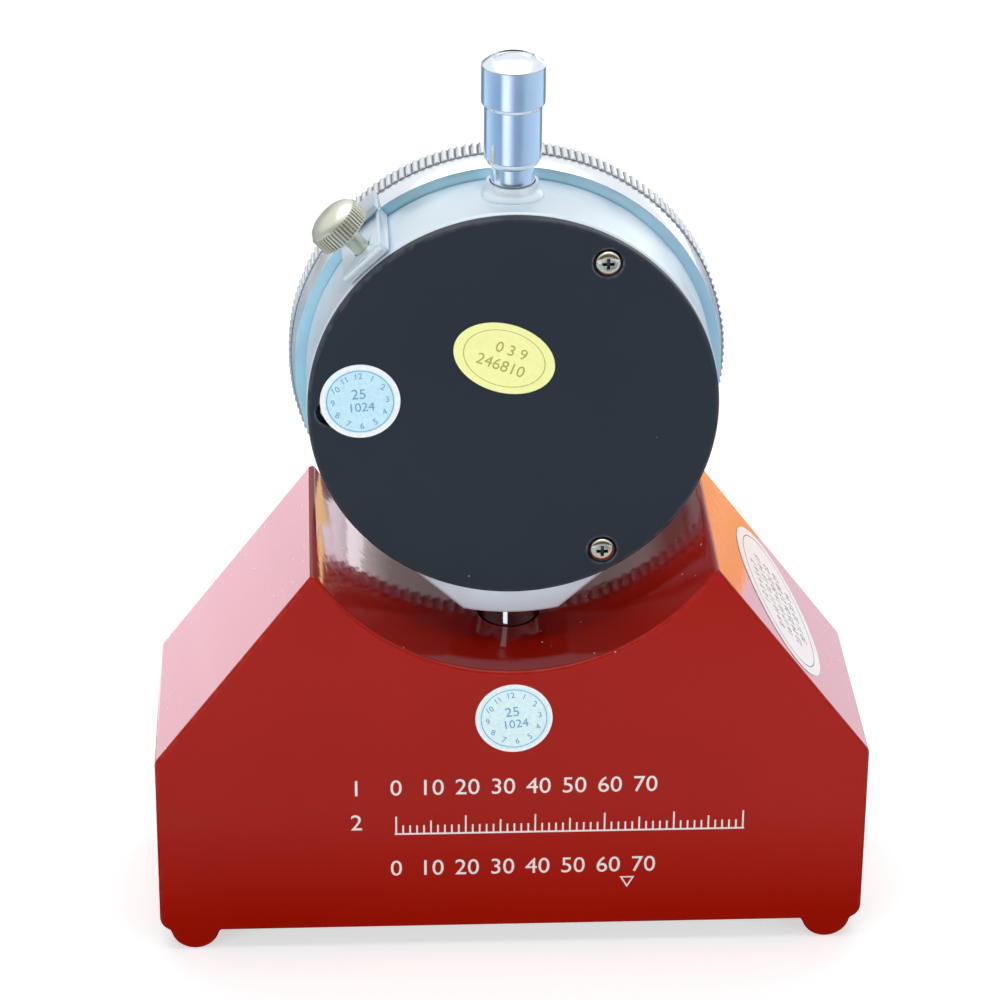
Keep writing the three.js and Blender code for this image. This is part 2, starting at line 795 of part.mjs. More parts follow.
function backCover() {
  const inner = caseBack - seat;
  const disc = turnedY([
    [0, coverFace],
    [coverRadius - coverEdge, coverFace],
    [coverRadius, coverFace + coverEdge],
    [coverRadius, inner],
    [0, inner],
  ]);
  const holes = coverScrewPlaces().map(([x, z]) => turnedY([
    [0, coverFace - overrun],
    [coverScrewHeadRadius + runGap, coverFace - overrun],
    [coverScrewHeadRadius + runGap, coverFace + coverScrewSinkDepth],
    [coverScrewRadius + slip, coverFace + coverScrewSinkDepth],
    [coverScrewRadius + slip, inner + overrun],
    [0, inner + overrun],
  ], smallSides, x, z));
  return cutBy(disc, ...holes);
}

// A pan head with a cross recess, its shank in the case's boss
function coverScrew([x, z]) {
  const under = coverFace + coverScrewSinkDepth - seat;
  const top = under - coverScrewHeadHeight;
  const end = caseBack + coverScrewLength - seat;
  const body = turnedY([
    [0, top],
    [coverScrewHeadRadius - coverScrewHeadEdge, top],
    [coverScrewHeadRadius, top + coverScrewHeadEdge],
    [coverScrewHeadRadius, under],
    [coverScrewRadius, under],
    [coverScrewRadius, end],
    [0, end],
  ], smallSides, x, z);
  const wide = crossLength / 2;
  const narrow = crossWidth / 2;
  const [from, to] = [top - overrun, top + crossDepth];
  return cutBy(
    body,
    box(x - wide, x + wide, from, to, z - narrow, z + narrow),
    box(x - narrow, x + narrow, from, to, z - wide, z + wide),
  );
}

// The flanged bush; its flange is hollowed underneath to the case's round top
function upperBush() {
  const room = turnedY(rodProfile(caseRadius + slip, caseBack - overrun, caseShoulder + overrun));
  const flange = rodZ(bushFlangeRadius, cavityRadius, bushFlangeTop);
  const barrel = rodZ(bushBarrelRadius, bushBarrelStart, bushFlangeTop);
  const bore = rodZ(neckRadius + slip, bushBarrelStart - overrun, bushFlangeTop + overrun);
  return cutBy(joined(cutBy(flange, room), barrel), bore);
}

function mainPlate() {
  const [from, to] = [plateBack - overrun, plateFront + overrun];
  const [studX, studZ] = studPlace();
  return cutBy(
    turnedY(rodProfile(plateRadius, plateBack, plateFront)),
    rodY(arborRadius + slip, from, to),
    rodY(arborRadius + slip, from, to, takeUpX, 0),
    rodY(platePinionHole, from, to, driveX, driveZ),
    rodY(postRadius + slip, from, to, returnSpringX, -postDrop),
    rodY(studRadius + slip, from, to, studX, studZ),
    ...pillarPlaces().map(([x, z]) => rodY(pillarSpigotRadius + slip, from, to, x, z)),
  );
}

function movementBridge() {
  const [from, to] = [bridgeBack - overrun, bridgeFront + overrun];
  const outline = pillarAngles.flatMap((degrees) => {
    const [x, z] = onCircle(pillarCircle - bridgeCorner / 2, degrees);
    return arc(x, z, bridgeCorner, degrees - 60, degrees + 60, lugSteps);
  });
  return cutBy(
    slabY(outline, bridgeBack, bridgeFront),
    rodY(arborRadius + slip, from, to),
    rodY(arborRadius + slip, from, to, takeUpX, 0),
    rodY(arborRadius + slip, from, to, driveX, driveZ),
    ...pillarPlaces().map(([x, z]) => rodY(pillarSpigotRadius + slip, from, to, x, z)),
  );
}

function pillar([x, z]) {
  const back = plateFront + seat;
  const front = bridgeBack - seat;
  const end = floorBack + pillarSpigotLength;
  return turnedY([
    [0, back - plateThickness],
    [pillarSpigotRadius, back - plateThickness],
    [pillarSpigotRadius, back],
    [pillarRadius, back],
    [pillarRadius, front],
    [pillarSpigotRadius, front],
    [pillarSpigotRadius, end],
    [0, end],
  ], smallSides, x, z);
}

// A gear blank with pointed teeth, round windows and a hub
function gear(start, back, x, z) {
  const outline = toothed(driveTeeth, drivePitch + addendum, toothHeight, start, x, z);
  const windows = [];
  for (let i = 0; i < gearWindows; i += 1) {
    const [dx, dz] = onCircle(drivePitch * gearWindowPlaceShare, 360 * (i + 0.5) / gearWindows);
    const radius = drivePitch * gearWindowRadiusShare;
    windows.push(rodY(radius, back - overrun, back + gearThickness + overrun, x + dx, z + dz));
  }
  const hub = rodY(gearHubRadius, back, back + gearThickness + gearHubLength, x, z);
  return joined(cutBy(slabY(outline, back, back + gearThickness), ...windows), hub);
}

// The arbor that the rack turns, with the rack pinion cut on it
function rackPinion() {
  const start = Math.PI + Math.PI / rackPinionTeeth;
  const outline = toothed(rackPinionTeeth, rackPinionPitch + addendum, toothHeight, start, driveX, driveZ);
  return joined(
    slabY(outline, -rackPinionHalfWidth, rackPinionHalfWidth),
    rodY(arborRadius, -rackPinionHalfWidth - arborTail, bridgeFront, driveX, driveZ),
  );
}

function driveGear() {
  const towardCentre = Math.atan2(-driveZ, -driveX);
  const whole = gear(towardCentre, driveGearBack, driveX, driveZ);
  return cutBy(whole, rodY(arborRadius + slip, plateFront, bridgeBack, driveX, driveZ));
}

// The pinion at the middle has a gap between teeth where the drive gear meets it
function centreStart() {
  return Math.atan2(driveZ, driveX) + Math.PI / centreTeeth;
}

function centrePinion() {
  const outline = toothed(centreTeeth, centrePitch + addendum, toothHeight, centreStart());
  const teeth = slabY(outline, plateFront + seat, bridgeBack - seat);
  const end = pointerHubBack + pointerHubLength / 2;
  return joined(teeth, rodY(arborRadius, plateBack, end));
}

// The take-up gear's gap falls on the middle pinion's nearest tooth
function takeUpGear() {
  const step = 2 * Math.PI / centreTeeth;
  const nearest = centreStart() - step * Math.round(centreStart() / step);
  const start = Math.PI - nearest * centrePitch / drivePitch + Math.PI / driveTeeth;
  const end = counterHubBack + counterHubLength / 2;
  return joined(gear(start, takeUpGearBack, takeUpX, 0), rodY(arborRadius, hairBack - seat, end, takeUpX, 0));
}

function studPlace() {
  return [takeUpX + hairOuterRadius + hairThickness + runGap + studRadius, 0];
}

function hairspring() {
  const steps = hairTurns * hairStepsPerTurn;
  const inside = [];
  const outside = [];
  for (let i = 0; i <= steps; i += 1) {
    const radius = hairInnerRadius + hairGrowth * i / steps;
    const [x, z] = onCircle(radius, 360 * i / hairStepsPerTurn);
    const [outX, outZ] = onCircle(radius + hairThickness, 360 * i / hairStepsPerTurn);
    inside.push([takeUpX + x, z]);
    outside.unshift([takeUpX + outX, outZ]);
  }
  return slabY([...inside, ...outside], hairBack, hairBack + hairWidth);
}

function hairspringStud() {
  const [x, z] = studPlace();
  return rodY(studRadius, hairBack - seat, plateFront, x, z);
}

// A slotted block on the plate that keeps the pin, and so the spindle, from turning
function rackGuide() {
  const slotTop = pinHeight + barLift + pinRadius + guideSlotPlay;
  const slotBottom = pinHeight - barDrop - pinRadius - guideSlotPlay;
  const slotSide = pinRadius + slip;
  const [bottom, top] = [slotBottom - guideEndMargin, slotTop + guideEndMargin];
  return cutBy(
    box(-guideFar, -guideNear, -spindleRadius, plateBack - seat, bottom, top),
    box(-guideFar - overrun, -guideNear + overrun, -slotSide, slotSide, slotBottom, slotTop),
  );
}

function returnSpring() {
  const bottom = gaugeHeight - postDrop + postRadius + seat + returnSpringWire / 2;
  const top = gaugeHeight + pinHeight - pinRadius - seat - returnSpringWire / 2;
  const coil = new Coil(returnSpringX, 0, returnSpringRadius, bottom, top, returnSpringTurns);
  return wire(coil, returnSpringWire / 2, returnSpringTurns * springStepsPerTurn, springSides - 1);
}

function springPost() {
  return rodY(postRadius, -returnSpringRadius - postOverhang, plateFront, returnSpringX, -postDrop);
}

function innerDial() {
  return cutBy(
    turnedY(tubeProfile(dialHoleRadius, innerDialRadius, innerDialBack, innerDialFront)),
    rodY(dialHoleRadius, innerDialBack - overrun, innerDialFront + overrun, takeUpX, 0),
  );
}

function dialRing() {
  return turnedY(tubeProfile(innerDialRadius + runGap, bezelBore - slip, dialRingBack, dialRingFront));
}

function crystalRing() {
  const outer = bezelBore - slip;
  return turnedY(tubeProfile(outer - crystalRingWall, outer, dialRingFront + seat, crystalBack - seat));
}

function crystal() {
  const radius = bezelBore - slip;
  return turnedY([
    [0, crystalBack],
    [radius, crystalBack],
    [radius, crystalFront - crystalEdge],
    [radius - crystalEdge, crystalFront],
    [0, crystalFront],
  ]);
}

// An open wire ring in the grooves of the case's collar and the bezel
function snapRing() {
  const inner = caseCollarRadius - grooveDepth + slip;
  const outer = bezelBore + grooveDepth - seat;
  const half = snapRingGapAngle / 2;
  const outline = [
    ...arc(0, 0, outer, half, 360 - half, snapRingSteps),
    ...arc(0, 0, inner, 360 - half, half, snapRingSteps),
  ];
  return slabY(outline, grooveBack + seat, grooveBack + grooveWidth - seat);
}

function bezel() {
  const grooveFloor = bezelBore + grooveDepth;
  const ring = turnedY([
    [bezelBore, bezelBack],
    [bezelSkirtRadius, bezelBack],
    [bezelSkirtRadius, bezelBandBack],
    [bezelBandRadius, bezelBandBack],
    [bezelBandRadius, bezelBandFront],
    [bezelFrontRadius, bezelFront],
    [bezelLipRadius, bezelFront],
    [bezelLipRadius, bezelLipBack],
    [bezelBore, bezelLipBack],
    [bezelBore, grooveBack + grooveWidth],
    [grooveFloor, grooveBack + grooveWidth],
    [grooveFloor, grooveBack],
    [bezelBore, grooveBack],
  ]);
  const height = bezelKnurlRadius - bezelBandRadius;
  const knurlOutline = toothed(bezelKnurls, bezelKnurlRadius, height, 0);
  const inside = bezelKnurlRadius - bezelKnurlRootDepth;
  const band = cutBy(
    slabY(knurlOutline, bezelBandBack, bezelBandFront),
    turnedY(rodProfile(inside, bezelBandBack - overrun, bezelBandFront + overrun)),
  );
  return joined(ring, band);
}

function handOutline(length, tail, rootHalfWidth, tipHalfWidth, x = 0) {
  return [
    [x - rootHalfWidth, -tail],
    [x + rootHalfWidth, -tail],
    [x + rootHalfWidth, 0],
    [x + tipHalfWidth, length],
    [x - tipHalfWidth, length],
    [x - rootHalfWidth, 0],
  ];
}

function pointer() {
  const outline = handOutline(pointerLength, pointerTail, pointerRootHalfWidth, pointerTipHalfWidth);
  const back = pointerHubBack + pointerSetback;
  const bore = rodY(arborRadius + slip, pointerHubBack - overrun, pointerHubBack + pointerHubLength / 2 + seat);
  return cutBy(joined(
    slabY(outline, back, back + handThickness),
    rodY(pointerHubRadius, pointerHubBack, pointerHubFront),
  ), bore);
}

function counterHand() {
  const tip = counterHandHalfWidth * counterHandTipShare;
  const outline = handOutline(counterHandLength, counterHandTail, counterHandHalfWidth, tip, takeUpX);
  const back = counterHubBack + counterSetback;
  const boreEnd = counterHubBack + counterHubLength / 2 + seat;
  return cutBy(
    joined(
      slabY(outline, back, back + handThickness),
      rodY(counterHubRadius, counterHubBack, counterHubBack + counterHubLength, takeUpX, 0),
    ),
    rodY(arborRadius + slip, counterHubBack - overrun, boreEnd, takeUpX, 0),
  );
}

// The clamp plate over the bezel's skirt; its own frame has +Z out along the screw
function lockBracket() {
  const bottom = caseRadius + slip;
  const hookBottom = bezelSkirtRadius + runGap;
  const hookTop = hookBottom + lockHookThickness;
  const front = bezelBandBack - lockHookGap;
  const outline = [
    [lockPlateBack, bottom],
    [caseShoulder - runGap, bottom],
    [caseShoulder - runGap, hookBottom],
    [front, hookBottom],
    [front, hookTop],
    [caseShoulder - lockHookOverlap, hookTop],
    [caseShoulder - lockHookOverlap, lockPlateTop],
    [lockPlateBack, lockPlateTop],
  ];
  const hole = rodZ(lockScrewRadius + slip, bottom - overrun, lockPlateTop + overrun, 0, lockScrewY);
  return cutBy(slabX(outline, -lockPlateWidth / 2, lockPlateWidth / 2), hole);
}

function lockThumbscrew() {
  const headEnd = lockScrewHeadStart + lockScrewHeadLength;
  const knurls = toothed(lockScrewKnurls, lockScrewHeadRadius, lockScrewKnurlDepth, 0);
  const head = new THREE.ExtrudeGeometry(shapeOf(knurls), { depth: lockScrewHeadLength, bevelEnabled: false });
  head.translate(0, lockScrewY, lockScrewHeadStart);
  const domeRadius = lockScrewHeadRadius * lockScrewDomeShare;
  const dome = turnedZ([
    [0, headEnd - overrun],
    [domeRadius, headEnd - overrun],
    [domeRadius, headEnd],
    [domeRadius * lockScrewDomeShare, headEnd + lockScrewDome],
    [0, headEnd + lockScrewDome],
  ], mediumSides, 0, lockScrewY);
  const shank = rodZ(lockScrewRadius, cavityRadius + caseWall / 2, lockScrewHeadStart + seat, 0, lockScrewY);
  return joined(solidOf(head), dome, shank);
}

// Assembly
const meter = new THREE.Group();
meter.add(
  piece('base_block', baseBlock(), paint),
  piece('stem_clamp_screw', clampScrew(), steel),
  piece('plunger_bush', plungerBush(), brass),
  piece('spring_washer', springWasher(), steel),
  piece('measuring_spring', measuringSpring(), steel),
  piece('stem', stem(), chrome),
  piece('return_spring', returnSpring(), steel),
);

const slider = new THREE.Group();
slider.add(
  piece('measuring_bar', measuringBar(), steel),
  piece('bar_screw', barScrew(), steel),
  piece('plunger_rod', plungerRod(), steel),
  piece('contact_tip', contactTip(), steel),
  piece('gauge_spindle', gaugeSpindle(), chrome),
  piece('spindle_guide_pin', guidePin(), steel),
  piece('lift_cap', liftCap(), chrome),
);
meter.add(slider);

const gauge = new THREE.Group();
gauge.position.z = gaugeHeight;
gauge.add(
  piece('gauge_case', gaugeCase(), satin),
  piece('back_cover', backCover(), slate),
  piece('upper_bush', upperBush(), chrome),
  piece('main_plate', mainPlate(), brass),
  piece('movement_bridge', movementBridge(), brass),
  piece('rack_pinion', rackPinion(), steel),
  piece('drive_gear', driveGear(), brass),
  piece('centre_pinion', centrePinion(), steel),
  piece('take_up_gear', takeUpGear(), brass),
  piece('hairspring', hairspring(), steel),
  piece('hairspring_stud', hairspringStud(), brass),
  piece('rack_guide', rackGuide(), brass),
  piece('spring_post', springPost(), steel),
  piece('inner_dial', innerDial(), white),
  piece('dial_ring', dialRing(), white),
  piece('crystal_ring', crystalRing(), black),
  piece('crystal', crystal(), glass),
  piece('bezel_snap_ring', snapRing(), steel),
  piece('bezel', bezel(), satin),
  piece('pointer', pointer(), black),
  piece('counter_hand', counterHand(), black),
);
coverScrewPlaces().forEach((place, i) => gauge.add(piece(`cover_screw_${i + 1}`, coverScrew(place), nickel)));
pillarPlaces().forEach((place, i) => gauge.add(piece(`movement_pillar_${i + 1}`, pillar(place), brass)));

const lock = new THREE.Group();
lock.rotation.y = rad(90 - lockAngle);
lock.add(
  piece('lock_bracket', lockBracket(), satin),
  piece('lock_thumbscrew', lockThumbscrew(), nickel),
);
gauge.add(lock);
meter.add(gauge);

export default meter;
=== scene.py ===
import math

import bmesh
import bpy
from mathutils import Matrix, Vector


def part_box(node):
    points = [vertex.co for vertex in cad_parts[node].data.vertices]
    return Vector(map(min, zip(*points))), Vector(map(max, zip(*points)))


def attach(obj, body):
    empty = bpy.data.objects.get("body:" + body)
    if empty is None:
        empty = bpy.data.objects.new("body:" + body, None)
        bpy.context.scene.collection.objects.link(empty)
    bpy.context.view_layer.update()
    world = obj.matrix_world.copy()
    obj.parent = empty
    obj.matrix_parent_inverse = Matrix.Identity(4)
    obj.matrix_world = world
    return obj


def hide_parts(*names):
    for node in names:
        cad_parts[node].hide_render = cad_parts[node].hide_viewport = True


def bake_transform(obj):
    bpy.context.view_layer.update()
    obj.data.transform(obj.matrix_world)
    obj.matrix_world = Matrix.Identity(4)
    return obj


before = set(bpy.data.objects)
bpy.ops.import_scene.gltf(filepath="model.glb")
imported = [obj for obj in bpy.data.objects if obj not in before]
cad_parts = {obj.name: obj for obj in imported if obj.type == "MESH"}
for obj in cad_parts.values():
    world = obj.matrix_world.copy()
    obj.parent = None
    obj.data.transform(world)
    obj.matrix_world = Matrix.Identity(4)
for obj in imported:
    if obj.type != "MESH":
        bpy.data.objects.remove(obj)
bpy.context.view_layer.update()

mm = 0.001

# Base casting
# One iron casting with slanted shoulders and a round saddle for the gauge, standing on two half-round feet.
# It is cast, milled flat, bored from below for the plunger and the stem, and sprayed with red baked enamel.
block_low, block_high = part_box("base_block")
bezel_low, bezel_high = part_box("bezel")
gauge_height = (bezel_low.z + bezel_high.z) / 2
saddle_gap = 1.25 * mm
saddle_depth = 14.85 * mm
saddle_radius = bezel_high.x + saddle_gap
saddle_centre = block_high.z - saddle_depth + saddle_radius
underside = 2.8 * mm
shoulder = 29.1 * mm
ridge_trim = 0.2 * mm
foot_radius = 3.3 * mm
foot_place = block_high.x - 4.7 * mm
corner_radius = 2 * mm
edge_radius = 0.5 * mm
ridge_rounding = 0.9 * mm
chamber_radius = 5 * mm
chamber_top = 30 * mm
clamp_height = 36 * mm
clamp_bore = 2.15 * mm
stem_bore = 4.15 * mm
pocket_room = 0.5 * mm
pocket_top = 6.5 * mm
tolerance = mm / 100


def deselect():
    """Back in object mode with nothing selected"""
    if bpy.context.object and bpy.context.object.mode != "OBJECT":
        bpy.ops.object.mode_set(mode="OBJECT")
    bpy.ops.object.select_all(action="DESELECT")


def take(piece):
    """One piece selected and active"""
    deselect()
    piece.select_set(True)
    bpy.context.view_layer.objects.active = piece


def settle(piece, name=None):
    """The piece's place goes into its mesh, so that its object sits at the origin, unturned"""
    take(piece)
    bpy.ops.object.transform_apply(location=True, rotation=True, scale=True)
    if name:
        piece.name = piece.data.name = name
    return piece


def middle(part):
    """The middle of a face or an edge"""
    return sum((corner.co for corner in part.verts), Vector()) / len(part.verts)


def choose(piece, kind, wanted):
    """Edit mode with only those corners, edges or faces selected for which wanted says yes"""
    take(piece)
    bpy.ops.object.mode_set(mode="EDIT")
    bpy.ops.mesh.select_mode(type=kind)
    bpy.ops.mesh.select_all(action="DESELECT")
    mesh = bmesh.from_edit_mesh(piece.data)
    for part in {"VERT": mesh.verts, "EDGE": mesh.edges, "FACE": mesh.faces}[kind]:
        if wanted(part):
            part.select_set(True)
    bmesh.update_edit_mesh(piece.data)


def block(name, low, high):
    """A cube drawn out between two corners, as the start of a piece"""
    deselect()
    low, high = Vector(low), Vector(high)
    bpy.ops.mesh.primitive_cube_add(size=1, location=(low + high) / 2)
    piece = bpy.context.object
    piece.scale = high - low
    return settle(piece, name)


def rod(name, radius, low, high, axis="Z", sides=96, at=(0, 0)):
    """A cylinder from low to high along an axis, at the other two coordinates"""
    deselect()
    half = (low + high) / 2
    place = {"X": (half, *at), "Y": (at[0], half, at[1]), "Z": (*at, half)}[axis]
    turn = {"X": (0, math.pi / 2, 0), "Y": (-math.pi / 2, 0, 0), "Z": (0, 0, 0)}[axis]
    bpy.ops.mesh.primitive_cylinder_add(vertices=sides, radius=radius, depth=high - low,
                                        location=place, rotation=turn)
    return settle(bpy.context.object, name)


def combine(piece, other, operation="DIFFERENCE"):
    """The piece cut by another, or joined with it; the other is used up"""
    take(piece)
    cut = piece.modifiers.new("cut", "BOOLEAN")
    cut.operation, cut.object, cut.solver = operation, other, "EXACT"
    bpy.ops.object.modifier_apply(modifier=cut.name)
    bpy.data.objects.remove(other)


def halve(piece, place, away):
    """Everything past a plane is sliced off and the slice is closed"""
    choose(piece, "FACE", lambda face: True)
    bpy.ops.mesh.bisect(plane_co=place, plane_no=away, use_fill=True, clear_outer=True)
    bpy.ops.object.mode_set(mode="OBJECT")


def round_edges(piece, wanted, width, segments):
    """Only those edges are rounded for which wanted says yes"""
    choose(piece, "EDGE", wanted)
    bpy.ops.mesh.bevel(offset=width, segments=segments, clamp_overlap=False)
    bpy.ops.object.mode_set(mode="OBJECT")


def even_shading(piece):
    """Flat faces stay flat in the light next to their rounded edges"""
    take(piece)
    bpy.ops.object.shade_smooth_by_angle(angle=math.radians(40))
    weighted = piece.modifiers.new("even shading", "WEIGHTED_NORMAL")
    weighted.keep_sharp = True
    bpy.ops.object.modifier_apply(modifier=weighted.name)


def fit(piece, material, body, slot, *nodes):
    """The piece gets its finish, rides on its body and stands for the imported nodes"""
    piece.data.materials.clear()
    piece.data.materials.append(material)
    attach(piece, body)
    if nodes:
        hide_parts(*nodes)


def put(tree, kind, inputs=None, **settings):
    """A shader node with its settings, its constants and its links"""
    node = tree.nodes.new("ShaderNode" + kind)
    for name, value in settings.items():
        setattr(node, name, value)
    for socket, value in (inputs or {}).items():
        if isinstance(value, bpy.types.NodeSocket):
            tree.links.new(value, node.inputs[socket])
        else:
            node.inputs[socket].default_value = value
    return node


def calculate(tree, operation, *values):
    """What a Math node makes of its values"""
    return put(tree, "Math", dict(enumerate(values)), operation=operation).outputs[0]


def measure(tree, operation, *vectors):
    """What a Vector Math node makes of its vectors: a number or another vector"""
    outputs = put(tree, "VectorMath", dict(enumerate(vectors)), operation=operation).outputs
    return outputs["Value" if operation in ("DOT_PRODUCT", "LENGTH") else "Vector"]


def between(tree, value, start, end, low=0, high=1):
    """Low before the start, high after the end, even steps between; the end may lie before the start"""
    return put(tree, "MapRange", {"Value": value, "From Min": start, "From Max": end,
                                  "To Min": low, "To Max": high}).outputs[0]


def both(tree, *shares):
    """Several shares at once"""
    whole = shares[0]
    for share in shares[1:]:
        whole = calculate(tree, "MULTIPLY", whole, share)
    return whole


def new_group(name, inputs, outputs):
    """A shader group with number inputs and outputs of the named kinds"""
    group = bpy.data.node_groups.new(name, "ShaderNodeTree")
    for label, value in inputs.items():
        socket = group.interface.new_socket(label, in_out="INPUT", socket_type="NodeSocketFloat")
        socket.default_value = value
    for label in outputs:
        group.interface.new_socket(label, in_out="OUTPUT", socket_type="NodeSocketFloat")
    return group, group.nodes.new("NodeGroupInput"), group.nodes.new("NodeGroupOutput")


def use_group(tree, group, **inputs):
    """A shader group placed in a material with its own values"""
    node = tree.nodes.new("ShaderNodeGroup")
    node.node_tree = group
    for label, value in inputs.items():
        node.inputs[label].default_value = value
    return node.outputs[0]


def clouding_group():
    """Soft uneven patches, between a low and a high value"""
    group, given, result = new_group("clouding", {"Scale": 60, "Detail": 3, "Low": 0, "High": 1}, ["Value"])
    place = put(group, "TexCoord").outputs["Object"]
    noise = put(group, "TexNoise", {"Vector": place, "Scale": given.outputs["Scale"],
                                    "Detail": given.outputs["Detail"], "Roughness": 0.55})
    spread = between(group, noise.outputs[0], 0.32, 0.68, given.outputs["Low"], given.outputs["High"])
    group.links.new(spread, result.inputs["Value"])
    return group


def speck_group():
    """Scattered specks of dust: one in each chosen cell"""
    group, given, result = new_group("specks", {"Scale": 900, "Size": 0.12, "Share": 0.05}, ["Mask"])
    place = put(group, "TexCoord").outputs["Object"]
    cells = put(group, "TexVoronoi", {"Vector": place, "Scale": given.outputs["Scale"]})
    inside = calculate(group, "LESS_THAN", cells.outputs["Distance"], given.outputs["Size"])
    luck = put(group, "SeparateColor", {"Color": cells.outputs["Color"]}).outputs[0]
    chosen = calculate(group, "LESS_THAN", luck, given.outputs["Share"])
    group.links.new(both(group, inside, chosen), result.inputs["Mask"])
    return group


def edge_group():
    """How near a point lies to a rounded edge, broken up by a fine noise"""
    group, given, result = new_group("edge wear and highlight", {"Radius": 0.0006, "Noise scale": 900, "Strength": 1},
                                     ["Mask"])
    round_normal = put(group, "Bevel", {"Radius": given.outputs["Radius"]}, samples=4).outputs[0]
    flat_normal = put(group, "NewGeometry").outputs["Normal"]
    bent = between(group, measure(group, "DOT_PRODUCT", round_normal, flat_normal), 0.995, 0.86)
    place = put(group, "TexCoord").outputs["Object"]
    noise = put(group, "TexNoise", {"Vector": place, "Scale": given.outputs["Noise scale"], "Detail": 3})
    rubbed_and_highlit = both(group, bent, between(group, noise.outputs[0], 0.35, 0.6))
    scaled = put(group, "Math", {0: rubbed_and_highlit, 1: given.outputs["Strength"]}, operation="MULTIPLY",
                 use_clamp=True)
    group.links.new(scaled.outputs[0], result.inputs["Mask"])
    return group


clouding = clouding_group()
specks = speck_group()
edge_wear_and_highlight = edge_group()


def new_finish(name, **constants):
    """A material with its Principled shader, whose even values are set on the shader itself"""
    material = bpy.data.materials.new(name)
    material.use_nodes = True
    tree = material.node_tree
    shader = tree.nodes["Principled BSDF"]
    for label, value in constants.items():
        socket = label.replace("_", " ").title().replace("Ior", "IOR")
        shader.inputs[socket].default_value = value
    return material, tree, shader


def blend_colours(tree, share, first, second):
    """A colour between two others"""
    mix = put(tree, "Mix", data_type="RGBA")
    for socket, value in ((0, share), (6, first), (7, second)):
        if isinstance(value, bpy.types.NodeSocket):
            tree.links.new(value, mix.inputs[socket])
        else:
            mix.inputs[socket].default_value = value if socket == 0 else (*value, 1)
    return mix.outputs[2]


def raise_bump(tree, shader, height, distance, below=None):
    """A bump on the shader's normal, on top of another bump where there is one"""
    bump = put(tree, "Bump", {"Height": height, "Distance": distance, "Strength": 1.0})
    if below:
        tree.links.new(below, bump.inputs["Normal"])
    tree.links.new(bump.outputs[0], shader.inputs["Normal"])
    return bump.outputs[0]


def red_enamel():
    """Glossy red enamel, duller on the far face, with orange peel, dust and paler rounded edges: thinner
    paint there and a painted highlight
    """
    material, tree, shader = new_finish("red_enamel", specular_ior_level=0.3, coat_roughness=0.08)
    cloud = use_group(tree, clouding, Scale=22, Detail=2)
    paint = blend_colours(tree, cloud, (0.345, 0.0062, 0.0012), (0.378, 0.0082, 0.0022))
    # Paler rounded edges: partly thinner paint, partly a painted highlight along the ridges and the saddle's
    # lip
    edges = use_group(tree, edge_wear_and_highlight, Radius=0.0006, Strength=1.0)
    worn_and_highlit = blend_colours(tree, edges, paint, (0.70, 0.05, 0.035))
    _, backward, upward = put(tree, "SeparateXYZ", {0: put(tree, "NewGeometry").outputs["Normal"]}).outputs
    dust = both(tree, use_group(tree, specks, Scale=760, Size=0.1, Share=0.13),
                between(tree, upward, 0.2, 0.5))
    dusty = blend_colours(tree, dust, worn_and_highlit, (0.75, 0.62, 0.58))
    tree.links.new(dusty, shader.inputs["Base Color"])
    rough = use_group(tree, clouding, Scale=130, Detail=4, Low=0.05, High=0.085)
    dull = between(tree, backward, 0.8, 0.95, high=0.4)
    tree.links.new(calculate(tree, "ADD", rough, dull), shader.inputs["Roughness"])
    peel = use_group(tree, clouding, Scale=800, Detail=1)
    soft = raise_bump(tree, shader, peel, 0.000004)
    raise_bump(tree, shader, dust, 0.00003, below=soft)
    return material


casting = block("casting", (block_low.x, block_low.y, underside),
                (block_high.x, block_high.y, block_high.z + edge_radius))
ridge = math.sqrt(saddle_radius ** 2 - (saddle_centre - block_high.z) ** 2) + ridge_trim
slope_out = Vector((block_high.z - shoulder, 0, block_high.x - ridge)).normalized()
for side in (-1, 1):
    halve(casting, (side * block_high.x, 0, shoulder), (side * slope_out.x, 0, slope_out.z))
round_edges(casting, lambda edge: abs(middle(edge).x) > block_high.x - edge_radius
            and middle(edge).z < underside + edge_radius and abs(middle(edge).y) < edge_radius,
            corner_radius, 8)
for side in (-1, 1):
    foot = rod("foot", foot_radius, block_low.y, block_high.y, "Y", 64, (side * foot_place, foot_radius))
    combine(casting, foot, "UNION")
combine(casting,
        rod("saddle", saddle_radius, -block_high.y * 2, block_high.y * 2, "Y", 320, (0, saddle_centre)))
choose(casting, "FACE", lambda face: True)
bpy.ops.mesh.dissolve_limited(angle_limit=math.radians(0.4))


def sharp_outside(edge):
    """The outline at the front and back, and the corners that run from front to back"""
    if len(edge.link_faces) != 2 or math.degrees(edge.calc_face_angle()) < 30:
        return False
    return all(abs(corner.co.y) > block_high.y - tolerance for corner in edge.verts)


def front_to_back(edge):
    """An edge that runs through the whole thickness of the casting"""
    return abs(middle(edge).y) < mm and abs(edge.verts[0].co.y - edge.verts[1].co.y) > mm


